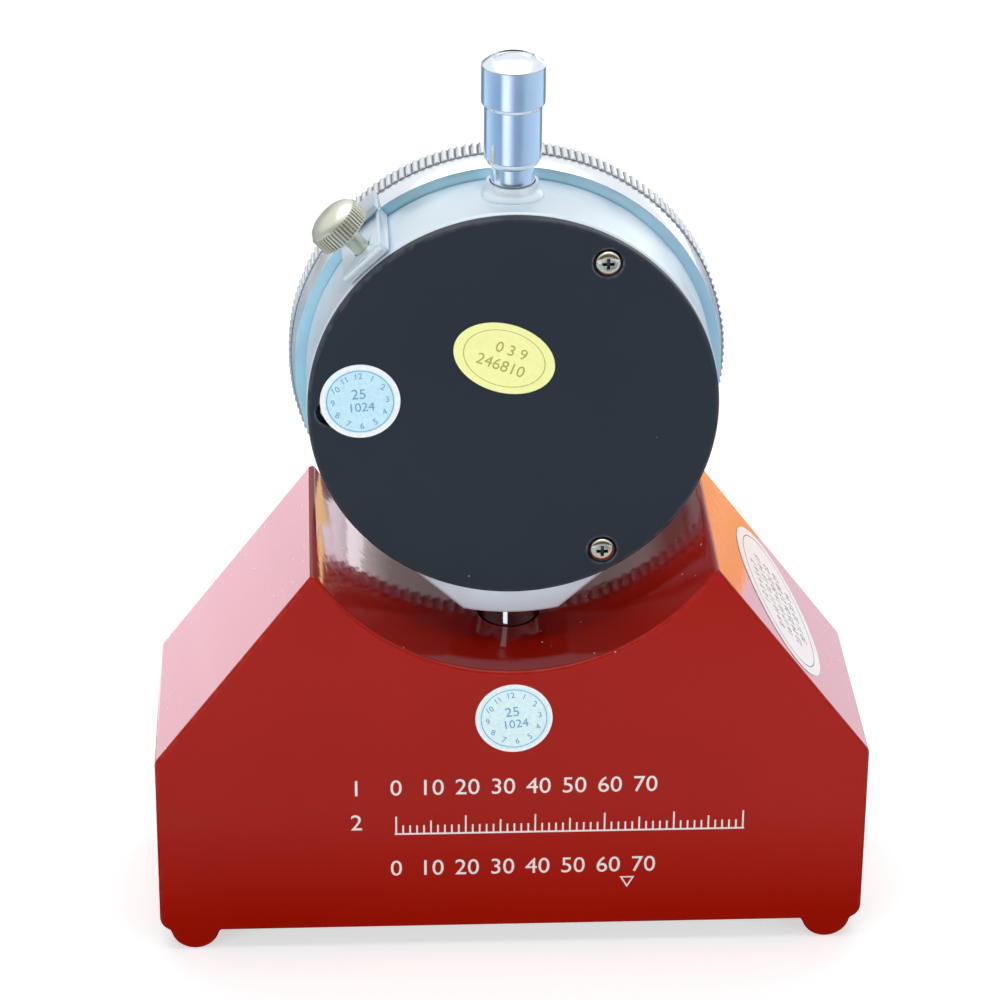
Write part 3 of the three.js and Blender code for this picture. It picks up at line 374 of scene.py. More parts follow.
choose(casting, "EDGE", lambda edge: front_to_back(edge) and not sharp_outside(edge)
       and middle(edge).z > block_high.z - 1.5 * ridge_rounding)
bpy.ops.mesh.dissolve_edges(use_verts=True)
bpy.ops.object.mode_set(mode="OBJECT")
round_edges(casting, lambda edge: front_to_back(edge) and sharp_outside(edge)
            and middle(edge).z > block_high.z - ridge_rounding, ridge_rounding, 5)
round_edges(casting, sharp_outside, edge_radius, 4)
bar_low, bar_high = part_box("measuring_bar")
pocket_low = (bar_low.x - pocket_room, bar_low.y - pocket_room, -mm)
combine(casting, block("pocket", pocket_low, (-pocket_low[0], -pocket_low[1], pocket_top)))
combine(casting, rod("chamber", chamber_radius, pocket_top - mm, chamber_top, "Z", 64))
combine(casting, rod("stem bore", stem_bore, chamber_top - mm, gauge_height, "Z", 64))
combine(casting,
        rod("clamp bore", clamp_bore, stem_bore - mm, block_high.y + mm, "Y", 48, (0, clamp_height)))
even_shading(casting)
fit(casting, red_enamel(), "base", "painted_casting", "base_block")

# Measuring bar, its screw and the plunger
# A hardened steel bar with rounded lower edges rests on the screen and is screwed to the sprung plunger.
# The plunger slides in a brass bush under the stem; its spring and washer sit above its collar.
bar_corner = 2 * mm
bar_edge = 0.3 * mm
thread_radius = 1.2 * mm
screw_room = 0.15 * mm
slot_half = 0.35 * mm
weld = mm / 1000


def marks_group(axis):
    """Fine turning or grinding marks round an axis, as a height"""
    group, given, result = new_group("marks round " + axis, {"Scale": 4000, "Centre": 0, "Streak": 3},
                                     ["Height"])
    place = put(group, "TexCoord").outputs["Object"]
    split = put(group, "SeparateXYZ", {0: place}).outputs
    along = split[1] if axis == "Y" else split[2]
    other = split[2] if axis == "Y" else split[1]
    level = calculate(group, "SUBTRACT", other, given.outputs["Centre"])
    reach = measure(group, "LENGTH", put(group, "CombineXYZ", {"X": split[0], "Y": level}).outputs[0])
    angle = calculate(group, "ARCTAN2", split[0], level)
    fine_reach = calculate(group, "MULTIPLY", reach, given.outputs["Scale"])
    fine_along = calculate(group, "MULTIPLY", along, given.outputs["Scale"])
    streaks = calculate(group, "MULTIPLY", angle, given.outputs["Streak"])
    where = put(group, "CombineXYZ", {"X": fine_reach, "Y": fine_along, "Z": streaks}).outputs[0]
    noise = put(group, "TexNoise", {"Vector": where, "Scale": 1, "Detail": 2, "Roughness": 0.6}).outputs[0]
    group.links.new(noise, result.inputs["Height"])
    return group


marks_round_y = marks_group("Y")
marks_round_z = marks_group("Z")


def groove_grime(tree, colour, shade_colour, centre, axis, deep, shallow, start, end):
    """Painted shade in the grooves of a knurl: the nearer to its axis, the darker, between two places along
    it
    """
    place = put(tree, "TexCoord").outputs["Object"]
    offset = measure(tree, "SUBTRACT", place, centre)
    along = measure(tree, "DOT_PRODUCT", offset, axis)
    reach = measure(tree, "LENGTH", measure(tree, "CROSS_PRODUCT", offset, axis))
    level = calculate(tree, "COMPARE", along, (start + end) / 2, (end - start) / 2)
    share = both(tree, between(tree, reach, shallow, deep), level)
    return blend_colours(tree, share, colour, shade_colour)


def plain_metal(name, light, dark, rough, marks=None, centre=0.0, depth=0.000002, scale=4000, wear=0.0,
                knurl=None, metallic=1.0, detail=4):
    """Metal with uneven polish, marks from its making, brighter edges from wear and painted shade in a
    knurl's grooves
    """
    material, tree, shader = new_finish(name, metallic=metallic)
    cloud = use_group(tree, clouding, Scale=90, Detail=detail)
    colour = blend_colours(tree, cloud, light, dark)
    if knurl:
        colour = groove_grime(tree, colour, *knurl)
    if wear:
        rubbed_and_highlit = use_group(tree, edge_wear_and_highlight, Radius=0.0003, Strength=wear)
        colour = blend_colours(tree, rubbed_and_highlit, colour, tuple(min(1.0, part * 1.35) for part in light))
    tree.links.new(colour, shader.inputs["Base Color"])
    gloss = use_group(tree, clouding, Scale=260, Detail=detail, Low=rough * 0.8, High=rough * 1.25)
    tree.links.new(gloss, shader.inputs["Roughness"])
    if marks:
        raise_bump(tree, shader, use_group(tree, marks, Scale=scale, Centre=centre), depth)
    return material


def soften(piece, width, segments=3, angle=30):
    """Rounded edges wherever faces meet more sharply than the angle"""
    take(piece)
    bevel = piece.modifiers.new("soft edges", "BEVEL")
    bevel.width, bevel.segments = width, segments
    bevel.limit_method, bevel.angle_limit = "ANGLE", math.radians(angle)
    bevel.use_clamp_overlap = True
    bpy.ops.object.modifier_apply(modifier=bevel.name)
    even_shading(piece)


def weld_corners():
    """In edit mode: corners at one place become one corner, all faces turn outwards, and editing ends"""
    bpy.ops.mesh.select_all(action="SELECT")
    bpy.ops.mesh.remove_doubles(threshold=weld)
    bpy.ops.mesh.normals_make_consistent(inside=False)
    bpy.ops.object.mode_set(mode="OBJECT")


def turned(name, rings, sides=96, hollow=False):
    """A turned piece about the upright axis, drawn out ring by ring; rings are (radius, height) in metres"""
    deselect()
    rings = list(rings) + ([rings[0]] if hollow else [])
    radius, height = rings[0]
    bpy.ops.mesh.primitive_circle_add(vertices=sides, radius=radius, location=(0, 0, height),
                                      fill_type="NOTHING" if hollow else "NGON")
    piece = settle(bpy.context.object, name)
    bpy.ops.object.mode_set(mode="EDIT")
    bpy.ops.mesh.select_mode(type="EDGE" if hollow else "FACE")
    bpy.ops.mesh.select_all(action="SELECT")
    for next_radius, next_height in rings[1:]:
        move = {"value": (0, 0, next_height - height)}
        if hollow:
            bpy.ops.mesh.extrude_edges_move(TRANSFORM_OT_translate=move)
        else:
            bpy.ops.mesh.extrude_region_move(TRANSFORM_OT_translate=move)
        grow = next_radius / radius
        bpy.ops.transform.resize(value=(grow, grow, 1), center_override=(0, 0, 0))
        radius, height = next_radius, next_height
    weld_corners()
    return piece


def tube(name, inner, outer, low, high, sides=96):
    """A turned tube, washer or ring with square edges"""
    return turned(name, [(inner, low), (outer, low), (outer, high), (inner, high)], sides, hollow=True)


def dress(names, material):
    """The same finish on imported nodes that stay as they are"""
    for name in names:
        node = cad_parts[name]
        node.data.materials.clear()
        node.data.materials.append(material)


bar = block("measuring_foot_bar", bar_low, bar_high)
round_edges(bar, lambda edge: middle(edge).z < bar_low.z + bar_edge and abs(middle(edge).y) < bar_edge,
            bar_corner, 8)
screw_low, screw_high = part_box("bar_screw")
screw_radius = screw_high.x
sink = turned("sink", [(screw_radius + screw_room, -mm), (screw_radius + screw_room, screw_low.z),
                       (thread_radius + screw_room, screw_low.z + 1.4 * mm),
                       (thread_radius + screw_room, bar_high.z + mm)], 48)
combine(bar, sink)
soften(bar, bar_edge, 2)
steel = plain_metal("ground_steel", (0.56, 0.57, 0.58), (0.42, 0.43, 0.45), 0.36, marks_round_z, wear=0.6)
fit(bar, steel, "slider", "machined_steel", "measuring_bar")
screw = turned("bar_fixing_screw", [(screw_radius, screw_low.z + 0.1 * mm),
                                    (thread_radius, screw_low.z + 1.5 * mm),
                                    (thread_radius, screw_high.z - 0.4 * mm), (0.8 * mm, screw_high.z)], 48)
combine(screw, block("slot", (-slot_half, -4 * mm, -mm), (slot_half, 4 * mm, screw_low.z + 0.7 * mm)))
soften(screw, 0.06 * mm, 2)
fit(screw, steel, "slider", "machined_steel", "bar_screw")
wire_steel = plain_metal("spring_wire", (0.5, 0.5, 0.51), (0.33, 0.33, 0.34), 0.36)
dress(["plunger_rod", "contact_tip", "spindle_guide_pin", "spring_washer", "spring_post", "rack_pinion",
       "centre_pinion"], steel)
dress(["hairspring", "bezel_snap_ring"], wire_steel)


def sprung(name, node):
    """A packed coil spring made a piece of its own, in place of the imported one"""
    deselect()
    spring = bpy.data.objects.new(name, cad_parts[node].data.copy())
    spring.data.name = name
    bpy.context.scene.collection.objects.link(spring)
    spring.data.materials.clear()
    spring.data.materials.append(wire_steel)
    choose(spring, "VERT", lambda corner: True)
    weld_corners()
    bpy.ops.object.shade_smooth_by_angle(angle=math.radians(80))
    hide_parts(node)
    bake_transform(spring)


sprung("coiled_measuring_spring", "measuring_spring")
sprung("coiled_return_spring", "return_spring")

# Stem and its clamp screw
# A chromed steel tube is pressed into the gauge's lug and stands in the casting's bore.
# A socket grub screw in the far side of the casting clamps it.
stem_low, stem_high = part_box("stem")
spindle_bore = 2.15 * mm
stem_edge = 0.4 * mm
clamp_low, clamp_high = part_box("stem_clamp_screw")
socket_radius = 1.15 * mm
socket_depth = 2.5 * mm


def face_forward(piece, x=0.0, z=gauge_height):
    """A piece turned about the upright axis is laid with that axis from back to front"""
    piece.rotation_euler.x = -math.pi / 2
    piece.location = (x, 0, z)
    return settle(piece)


def bright_chrome(name, light=(0.80, 0.87, 0.95), dark=(0.76, 0.84, 0.93)):
    """Bright turned chrome with fine marks round its axis, its highlights drawn out along the piece"""
    material = plain_metal(name, light, dark, 0.13, marks_round_z, 0.0, 0.0000006, 5200)
    shader = material.node_tree.nodes["Principled BSDF"]
    shader.inputs["Anisotropic"].default_value = 0.55
    return material


chrome = bright_chrome("turned_chrome")
stem = tube("stem_tube", spindle_bore, stem_high.x, stem_low.z, stem_high.z)
soften(stem, stem_edge)
# A darker copy of the turned chrome for the stem: painted shade where it stands under the lug in the saddle
shaded_stem_chrome = bright_chrome("stem_chrome_painted_shade", light=(0.42, 0.44, 0.48), dark=(0.34, 0.36, 0.40))
fit(stem, shaded_stem_chrome, "base", "bright_chrome", "stem")
grub_rings = [(1.1 * mm, clamp_low.y), (clamp_high.x, clamp_low.y + 1.2 * mm), (clamp_high.x, clamp_high.y)]
grub = turned("clamp_grub_screw", grub_rings, 64)
combine(grub, rod("socket", socket_radius, clamp_high.y - socket_depth, clamp_high.y + mm, "Z", 6))
soften(grub, 0.15 * mm, 2)
face_forward(grub, z=clamp_height)
fit(grub, steel, "base", "machined_steel", "stem_clamp_screw")

# Gauge case
# A die-cast cup with its floor to the front, a collar that carries the bezel and a lug for the stem.
# It is turned on its rim and collar, polished and plated in satin silver with a blue cast.
case_low, case_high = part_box("gauge_case")
cover_low, cover_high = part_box("back_cover")
case_radius = case_high.x
case_back = case_low.y
case_front = case_high.y
case_shoulder = 5 * mm
collar_radius = case_radius - 0.7 * mm
cavity_radius = case_radius - 2.1 * mm
front_bore = collar_radius - 1.2 * mm
floor_front = case_front - 0.2 * mm
floor_back = floor_front - 1.4 * mm
groove_back = case_shoulder + 2.2 * mm
groove_front = groove_back + 1 * mm
groove_floor = collar_radius - 0.5 * mm
rim_edge = 0.45 * mm
lug_radius = gauge_height - case_low.z
lug_half_width = 6.35 * mm
lug_edge = 0.5 * mm
lug_inset = 0.2 * mm
counter_place = (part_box("take_up_gear")[0].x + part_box("take_up_gear")[1].x) / 2
arbor_hole = 1.4 * mm
bush_room = 3.65 * mm
case_rings = [
    (cavity_radius, floor_back), (cavity_radius, case_back), (case_radius - rim_edge, case_back),
    (case_radius, case_back + rim_edge), (case_radius, case_shoulder), (collar_radius, case_shoulder),
    (collar_radius, groove_back), (groove_floor, groove_back), (groove_floor, groove_front),
    (collar_radius, groove_front), (collar_radius, case_front), (front_bore, case_front),
    (front_bore, floor_front),
]
case = face_forward(turned("gauge_body", case_rings, 192))
lug_angle = math.asin(lug_half_width / lug_radius)
meet_angle = lug_angle + math.acos(case_radius / lug_radius)
lug_top = gauge_height - case_radius * math.cos(meet_angle)
lug = rod("lug", lug_radius, case_back + lug_inset, case_shoulder - lug_inset, "Y", 288, (0, gauge_height))
for side in (-1, 1):
    out = Vector((side * math.sin(meet_angle), 0, -math.cos(meet_angle)))
    halve(lug, Vector((0, 0, gauge_height)) + out * case_radius, out)
halve(lug, (0, 0, lug_top), (0, 0, 1))
round_edges(lug, lambda edge: edge.calc_face_angle() > math.radians(35)
            and middle(edge).z < lug_top - mm, lug_edge, 4)
combine(lug, rod("room", case_radius - mm, case_back - mm, case_shoulder + mm, "Y", 192, (0, gauge_height)))
combine(case, lug, "UNION")
combine(case, rod("stem room", stem_high.x + 0.03 * mm, case_low.z - mm, stem_high.z, "Z", 64))
case_top = gauge_height + case_radius
combine(case, rod("bush room", bush_room, case_top - 4.1 * mm, gauge_height + lug_radius, "Z", 64))
for x in (0, counter_place):
    arbor_room = rod("arbor room", arbor_hole, floor_back - mm, floor_front + mm, "Y", 48, (x, gauge_height))
    combine(case, arbor_room)
even_shading(case)
plating = plain_metal("satin_plating", (0.81, 0.92, 1.0), (0.79, 0.90, 0.99), 0.36, metallic=0.4, detail=1)
fit(case, plating, "base", "satin_case", "gauge_case")

# Movement
# Brass plates on pillars carry the rack pinion, the middle pinion and the take-up gear with its hairspring.
# These are all inside the closed case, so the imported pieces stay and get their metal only.
brass = plain_metal("brushed_brass", (0.72, 0.56, 0.29), (0.60, 0.44, 0.20), 0.36, marks_round_y,
                    gauge_height, wear=0.4)
dress(["plunger_bush", "main_plate", "movement_bridge", "drive_gear", "take_up_gear", "hairspring_stud",
       "rack_guide", "movement_pillar_1", "movement_pillar_2", "movement_pillar_3"], brass)

# Dials
# The fixed inner dial carries the counter's small circle; the dial ring turns with the bezel.
# Both are thin white enamelled sheets with black printed ticks and plain numbers.
inner_low, inner_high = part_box("inner_dial")
ring_low, ring_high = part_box("dial_ring")
inner_radius = inner_high.x
ring_outer = ring_high.x
ring_inner = inner_radius + 0.3 * mm
sheet_edge = 0.08 * mm
ink = 0.02 * mm
tick_reach = ring_outer - 2 * mm
figure_reach = tick_reach - 4.6 * mm
divisions = 100
counter_divisions = 10
short_tick = 1.6 * mm
long_tick = 2.6 * mm
thin_line = 0.14 * mm
thick_line = 0.28 * mm
small_figure_reach = 2.45 * mm
counter_inner = 3.1 * mm
counter_outer = 3.8 * mm
circle_line = 0.12 * mm
upright = math.pi / 2


def coated(name, first, second, patches, sheen, gloss, grain=None):
    """A coat with patches of the given scale between two colours, an uneven sheen and maybe a fine grain"""
    material, tree, shader = new_finish(name, specular_ior_level=gloss)
    cloud = use_group(tree, clouding, Scale=patches, Detail=3)
    tree.links.new(blend_colours(tree, cloud, first, second), shader.inputs["Base Color"])
    scale, detail, low, high = sheen
    rough = use_group(tree, clouding, Scale=scale, Detail=detail, Low=low, High=high)
    tree.links.new(rough, shader.inputs["Roughness"])
    if grain:
        fineness, height = grain
        raise_bump(tree, shader, use_group(tree, clouding, Scale=fineness, Detail=2), height)
    return material


def printing_ink(name, colour, rough=0.45, gloss=0.3):
    """Screen-printed ink, a little uneven in depth"""
    paler = tuple(min(1.0, part * 1.12 + 0.012) for part in colour)
    return coated(name, colour, paler, 1800, (700, 2, rough * 0.85, rough * 1.15), gloss)


def join_all(pieces, name):
    """Several meshes made one piece"""
    deselect()
    for piece in pieces:
        piece.select_set(True)
    bpy.context.view_layer.objects.active = pieces[0]
    bpy.ops.object.join()
    joined = bpy.context.object
    joined.name = joined.data.name = name
    return joined


def printed(words, size, place, turn, depth=ink):
    """Plain figures as a thin solid, centred on a place and turned to face outwards"""
    deselect()
    bpy.ops.object.text_add()
    figures = bpy.context.object
    figures.data.body = words
    figures.data.size = size
    figures.data.align_x = figures.data.align_y = "CENTER"
    figures.data.extrude = depth / 2
    figures.data.resolution_u = 4
    bpy.ops.object.convert(target="MESH")
    figures = bpy.context.object
    figures.rotation_euler = turn
    figures.location = place
    return settle(figures)


def tick(width, inner, outer, face, angle, x=0.0):
    """One printed tick on a dial's face, pointing to its middle"""
    mark = block("tick", (-width / 2, face, inner), (width / 2, face + ink, outer))
    mark.rotation_euler.y = angle
    mark.location = (x, 0, gauge_height)
    return settle(mark)


def figure(step, height, reach, face, angle, x=0.0):
    """One printed number on a dial's face, upright at its place round the middle"""
    place = (x - reach * math.sin(angle), face + ink / 2, gauge_height + reach * math.cos(angle))
    return printed(str(step), height, place, (upright, 0, math.pi))


inner_dial = tube("inner_dial_sheet", arbor_hole, inner_radius, inner_low.y, inner_high.y, 128)
face_forward(inner_dial)
combine(inner_dial, rod("hole", arbor_hole, inner_low.y - mm, inner_high.y + mm, "Y", 48,
                        (counter_place, gauge_height)))
soften(inner_dial, sheet_edge, 2, 60)
enamelled = coated("white_enamel", (0.86, 0.86, 0.83), (0.80, 0.80, 0.77), 50, (300, 3, 0.32, 0.42), 0.4,
                   (1500, 0.000004))
fit(inner_dial, enamelled, "base", "dial_enamel", "inner_dial")
dial = tube("dial_ring_sheet", ring_inner, ring_outer, ring_low.y, ring_high.y, 192)
face_forward(dial)
soften(dial, sheet_edge, 2)
fit(dial, enamelled, "bezel_set", "dial_enamel", "dial_ring")

black_ink = printing_ink("black_dial_ink", (0.012, 0.012, 0.013))
ring_marks = []
for step in range(divisions):
    angle = 2 * math.pi * step / divisions
    length, width = (short_tick, thin_line) if step % 5 else (long_tick, thick_line)
    ring_marks.append(tick(width, tick_reach - length, tick_reach, ring_high.y, angle))
    if step % 10 == 0:
        ring_marks.append(figure(step, 2.5 * mm, figure_reach, ring_high.y, angle))
ring_print = join_all(ring_marks, "dial_ring_print")
fit(ring_print, black_ink, "bezel_set", "black_hands")
counter_marks = []
for step in range(counter_divisions):
    angle = 2 * math.pi * step / counter_divisions
    counter_marks.append(tick(circle_line, counter_inner, counter_outer, inner_high.y, angle, counter_place))
    if step % 2 == 0:
        small = figure(step, 1.1 * mm, small_figure_reach, inner_high.y, angle, counter_place)
        counter_marks.append(small)
circle = tube("counter circle", counter_outer, counter_outer + circle_line, inner_high.y, inner_high.y + ink)
counter_marks.append(face_forward(circle, counter_place))
counter_print = join_all(counter_marks, "counter_print")
fit(counter_print, black_ink, "base", "black_hands")

# Hands
# The pointer and the small counter hand are stamped from thin blackened sheet.
# Each is riveted to a turned hub that is pressed on its arbor.
pointer_low, pointer_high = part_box("pointer")
hand_low, hand_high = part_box("counter_hand")
hand_thickness = 0.3 * mm


def hand(name, low, high, root, tip, lift, hub_radius, x=0.0):
    """A tapered hand with a rounded hub, pointing up; root and tip are half its widths"""
    blade = block(name, (-root, low.y + lift, low.z - gauge_height),
                  (root, low.y + lift + hand_thickness, high.z - gauge_height))
    choose(blade, "FACE", lambda face: face.normal.z > 0.9)
    bpy.ops.transform.resize(value=(tip / root, 1, 1), center_override=(0, 0, 0))
    bpy.ops.object.mode_set(mode="OBJECT")
    soften(blade, 0.05 * mm, 2)
    hub = turned("hub", [(hub_radius, low.y), (hub_radius, high.y - 0.25 * mm),
                         (hub_radius * 0.82, high.y)], 64)
    soften(hub, 0.06 * mm, 2)
    combine(blade, face_forward(hub, z=0), "UNION")
    blade.location = (x, 0, gauge_height)
    settle(blade)
    even_shading(blade)
    return blade


def blackened(name, colour, rough):
    """Blackened sheet or moulding with a soft sheen"""
    paler = tuple(part * 1.5 + 0.004 for part in colour)
    return coated(name, colour, paler, 220, (500, 3, rough * 0.8, rough * 1.2), 0.5, (2600, 0.000003))


hand_black = blackened("blackened_hand", (0.012, 0.012, 0.014), 0.35)
pointer = hand("pointer_hand", pointer_low, pointer_high, root=0.7 * mm, tip=0.15 * mm,
               lift=0.6 * mm, hub_radius=1.5 * mm)
fit(pointer, hand_black, "pointer_arbor", "black_hands", "pointer")
counter_hand = hand("counter_hand_small", hand_low, hand_high, root=0.3 * mm, tip=0.1 * mm,
                    lift=0.4 * mm, hub_radius=0.9 * mm, x=counter_place)
fit(counter_hand, hand_black, "take_up_arbor", "black_hands", "counter_hand")

# Crystal and its ring
# A flat clear crystal sits under the bezel's lip on a matt black moulded ring.
# The ring stands on the edge of the turning dial.
crystal_low, crystal_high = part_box("crystal")
spacer_low, spacer_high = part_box("crystal_ring")
spacer_wall = 1 * mm


def clear_crystal():
    """Clear polished glass with the faintest haze"""
    material, tree, shader = new_finish("clear_crystal", transmission_weight=1.0, ior=1.48,
                                        base_color=(0.985, 0.99, 0.99, 1))
    haze = use_group(tree, clouding, Scale=180, Detail=3, Low=0.0, High=0.02)
    tree.links.new(haze, shader.inputs["Roughness"])
    return material


crystal_rings = [(crystal_high.x, crystal_low.y), (crystal_high.x, crystal_high.y - 0.3 * mm),
                 (crystal_high.x - 0.3 * mm, crystal_high.y)]
crystal = turned("crystal_disc", crystal_rings, 192)
face_forward(crystal)
soften(crystal, 0.08 * mm, 2)
fit(crystal, clear_crystal(), "bezel_set", "clear_crystal", "crystal")
spacer = tube("crystal_spacer", spacer_high.x - spacer_wall, spacer_high.x, spacer_low.y, spacer_high.y, 192)
face_forward(spacer)
soften(spacer, 0.15 * mm, 2)
fit(spacer, blackened("matt_black_ring", (0.02, 0.02, 0.022), 0.55), "bezel_set", "black_ring",
    "crystal_ring")

# Bezel
# A turned aluminium rim with a plain polished skirt towards the back and a straight-knurled band.
# It is pressed over the collar, held by a wire ring, and turns with the dial ring and the crystal.
bezel_back = bezel_low.y
bezel_front = bezel_high.y
knurl_radius = bezel_high.x
knurl_depth = 0.36 * mm
knurl_floor = knurl_radius - knurl_depth
knurl_count = 180
knurl_steps = 5
skirt_radius = knurl_radius - 0.8 * mm
skirt_edge = 0.15 * mm
bezel_bore = collar_radius + 0.3 * mm
band_back = bezel_back + 3.7 * mm
band_front = band_back + 3.6 * mm
bezel_lip = bezel_bore - 1.4 * mm
lip_back = bezel_front - 0.8 * mm
front_radius = knurl_radius - 2.4 * mm
groove_outer = bezel_bore + 0.5 * mm
bezel_rings = [
    (bezel_bore, bezel_back), (skirt_radius, bezel_back), (knurl_floor, band_back),
    (knurl_radius, band_back), (knurl_radius, band_front),
    (knurl_radius - 0.55 * mm, band_front + 0.6 * mm),
    (front_radius + 0.5 * mm, bezel_front - 0.25 * mm), (front_radius, bezel_front),
    (bezel_lip, bezel_front), (bezel_lip, lip_back), (bezel_bore, lip_back), (bezel_bore, groove_front),
    (groove_outer, groove_front), (groove_outer, groove_back), (bezel_bore, groove_back),
]
bezel = turned("knurled_bezel", bezel_rings, knurl_count * knurl_steps, hollow=True)


def knurl_step(corner):
    """Which of the steps across one knurl a corner of the band lies on, or none outside the band"""
    turns = math.atan2(corner.co.y, corner.co.x) / (2 * math.pi)
    in_band = band_back - tolerance < corner.co.z < band_front + tolerance
    on_band = in_band and corner.co.xy.length > knurl_radius - tolerance
    return round(turns * knurl_count * knurl_steps) % knurl_steps if on_band else -1


choose(bezel, "VERT", lambda corner: knurl_step(corner) in (1, 4))
half_down = 1 - knurl_depth / 2 / knurl_radius
bpy.ops.transform.resize(value=(half_down, half_down, 1), center_override=(0, 0, 0))
choose(bezel, "VERT", lambda corner: knurl_step(corner) == 0)
fully_down = 1 - knurl_depth / knurl_radius
bpy.ops.transform.resize(value=(fully_down, fully_down, 1), center_override=(0, 0, 0))
round_edges(bezel, lambda edge: edge.calc_face_angle() > math.radians(60)
            and abs(edge.verts[0].co.z - edge.verts[1].co.z) < tolerance
            and skirt_radius - mm / 10 < middle(edge).xy.length < skirt_radius + mm / 10
            and middle(edge).z < bezel_back + mm / 10, skirt_edge, 2)
face_forward(bezel)
take(bezel)
bpy.ops.object.shade_smooth_by_angle(angle=math.radians(25))
# Its first colour darkens the knurl's grooves as painted shade
bezel_knurl = ((0.10, 0.11, 0.13), (0, 0, gauge_height), (0, 1, 0), knurl_floor,
               knurl_radius - knurl_depth / 3, band_back - tolerance, band_front + mm / 4)
rim = plain_metal("knurled_plating", (0.88, 0.93, 0.98), (0.85, 0.90, 0.96), 0.2, marks_round_y,
                  gauge_height, 0.0000002, 3400, knurl=bezel_knurl, metallic=0.6)
fit(bezel, rim, "bezel_set", "knurled_satin", "bezel")
# The bezel's rear face gets a bluer copy of the plating: a painted reflection of bluish surroundings
rear_face_blue_reflection = plain_metal("satin_rear_face_painted_reflection", (0.56, 0.88, 1.0), (0.52, 0.83, 0.98), 0.36, metallic=0.7,
                         detail=1)
bezel.data.materials.append(rear_face_blue_reflection)
for face in bezel.data.polygons:
    if face.normal.y < -0.9 and face.center.y < bezel_back + mm / 10:
        face.material_index = 1

# Spindle, its bush and its cap
# The chromed spindle slides through a flanged bush at the top of the case, and carries a turned cap.
# The user lifts the spindle by the cap, whose wider head gives the fingers a hold.
bush_low, bush_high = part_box("upper_bush")
spindle_low, spindle_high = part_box("gauge_spindle")
cap_low, cap_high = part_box("lift_cap")
spindle_radius = 2 * mm
neck_radius = 2.825 * mm
cap_spigot = 1.5 * mm
cap_radius = cap_high.x - 0.3 * mm
head_radius = cap_high.x + 0.1 * mm
head_start = cap_high.z - 6.1 * mm
crown = 1.05 * mm
flange_radius = bush_high.x
bush_bore = neck_radius + 0.15 * mm
barrel_radius = 3.6 * mm
neck_start = bush_low.z + 1.3 * mm
spindle = turned("spindle_rod", [(spindle_radius, spindle_low.z), (spindle_radius, neck_start),
                                 (neck_radius, neck_start), (neck_radius, cap_low.z - 0.1 * mm),
                                 (cap_spigot, cap_low.z - 0.1 * mm), (cap_spigot, spindle_high.z)], 96)
soften(spindle, 0.2 * mm)
fit(spindle, chrome, "slider", "bright_chrome", "gauge_spindle")

flare = [(flange_radius - inward * mm, case_top + height * mm) for inward, height in (
    (0, -0.9), (0, -0.05), (0.12, 0.25), (0.4, 0.55), (0.62, 0.95), (0.68, 1.35))]
bush_rings = [(bush_bore, case_top - 0.9 * mm), *flare, (flange_radius - 0.72 * mm, bush_high.z),
              (bush_bore, bush_high.z)]
flange = turned("spindle_bush", bush_rings, 96, hollow=True)
room = rod("room", case_radius + 0.02 * mm, case_back - mm, case_shoulder + mm, "Y", 256, (0, gauge_height))
combine(flange, room)
barrel = tube("barrel", bush_bore, barrel_radius, bush_low.z, case_top)
combine(flange, barrel, "UNION")
soften(flange, 0.12 * mm, 2, 40)
fit(flange, plating, "base", "bright_chrome", "upper_bush")

cap_rings = [
    (cap_spigot + 0.15 * mm, cap_low.z), (cap_radius - 0.45 * mm, cap_low.z),
    (cap_radius, cap_low.z + 0.75 * mm), (cap_radius, head_start - 0.45 * mm),
    (head_radius, head_start), (head_radius, cap_high.z - crown),
    *[(head_radius * part, cap_high.z - depth * mm) for part, depth in (
        (0.68, 0.12), (0.66, 0.5), (0.57, 0.45), (0.48, 0.22), (0.3, 0.05), (0.12, 0))],
]
cap = turned("lifting_cap", cap_rings, 128)
soften(cap, 0.1 * mm, 3, 20)
fit(cap, chrome, "slider", "bright_chrome", "lift_cap")

# Back cover and its screws
# A satin slate-black moulded disc closes the case, held by three nickelled pan-head screws in round wells.
# The screws have cross recesses and are driven into bosses in the case.
cover_face = cover_low.y
cover_inner = cover_high.y
cover_radius = cover_high.x
well_radius = 1.9 * mm
well_depth = 0.6 * mm
hidden_well_depth = 1.1 * mm
hidden_head_depth = 0.4 * mm
recess_arm = 1.12 * mm
recess_half = 0.32 * mm
recess_depth = 0.62 * mm
cover_rim = 0.4 * mm
screw_names = ["cover_screw_1", "cover_screw_2", "cover_screw_3"]


def slate_cover():
    """Satin black moulding with a faint blue, fine grain, grains of dust and a paler rim: partly from wear,
    partly a painted reflection
    """
    material, tree, shader = new_finish("slate_cover", specular_ior_level=0.35)
    cloud = use_group(tree, clouding, Scale=16, Detail=2)
    slate = blend_colours(tree, cloud, (0.0165, 0.0235, 0.0360), (0.0185, 0.0285, 0.0400))
    # The paler rim is partly wear and partly a painted reflection of the rim's light band
    rubbed_and_highlit = use_group(tree, edge_wear_and_highlight, Radius=0.0005, Strength=0.9)
    worn_and_highlit = blend_colours(tree, rubbed_and_highlit, slate, (0.24, 0.22, 0.28))
    dust = use_group(tree, specks, Scale=700, Size=0.09, Share=0.02)
    tree.links.new(blend_colours(tree, dust, worn_and_highlit, (0.22, 0.25, 0.28)), shader.inputs["Base Color"])
    gloss = use_group(tree, clouding, Scale=200, Detail=4, Low=0.42, High=0.52)
    tree.links.new(gloss, shader.inputs["Roughness"])
    fine = raise_bump(tree, shader, use_group(tree, clouding, Scale=2400, Detail=2), 0.000003)
    raise_bump(tree, shader, dust, 0.00002, below=fine)
    return material


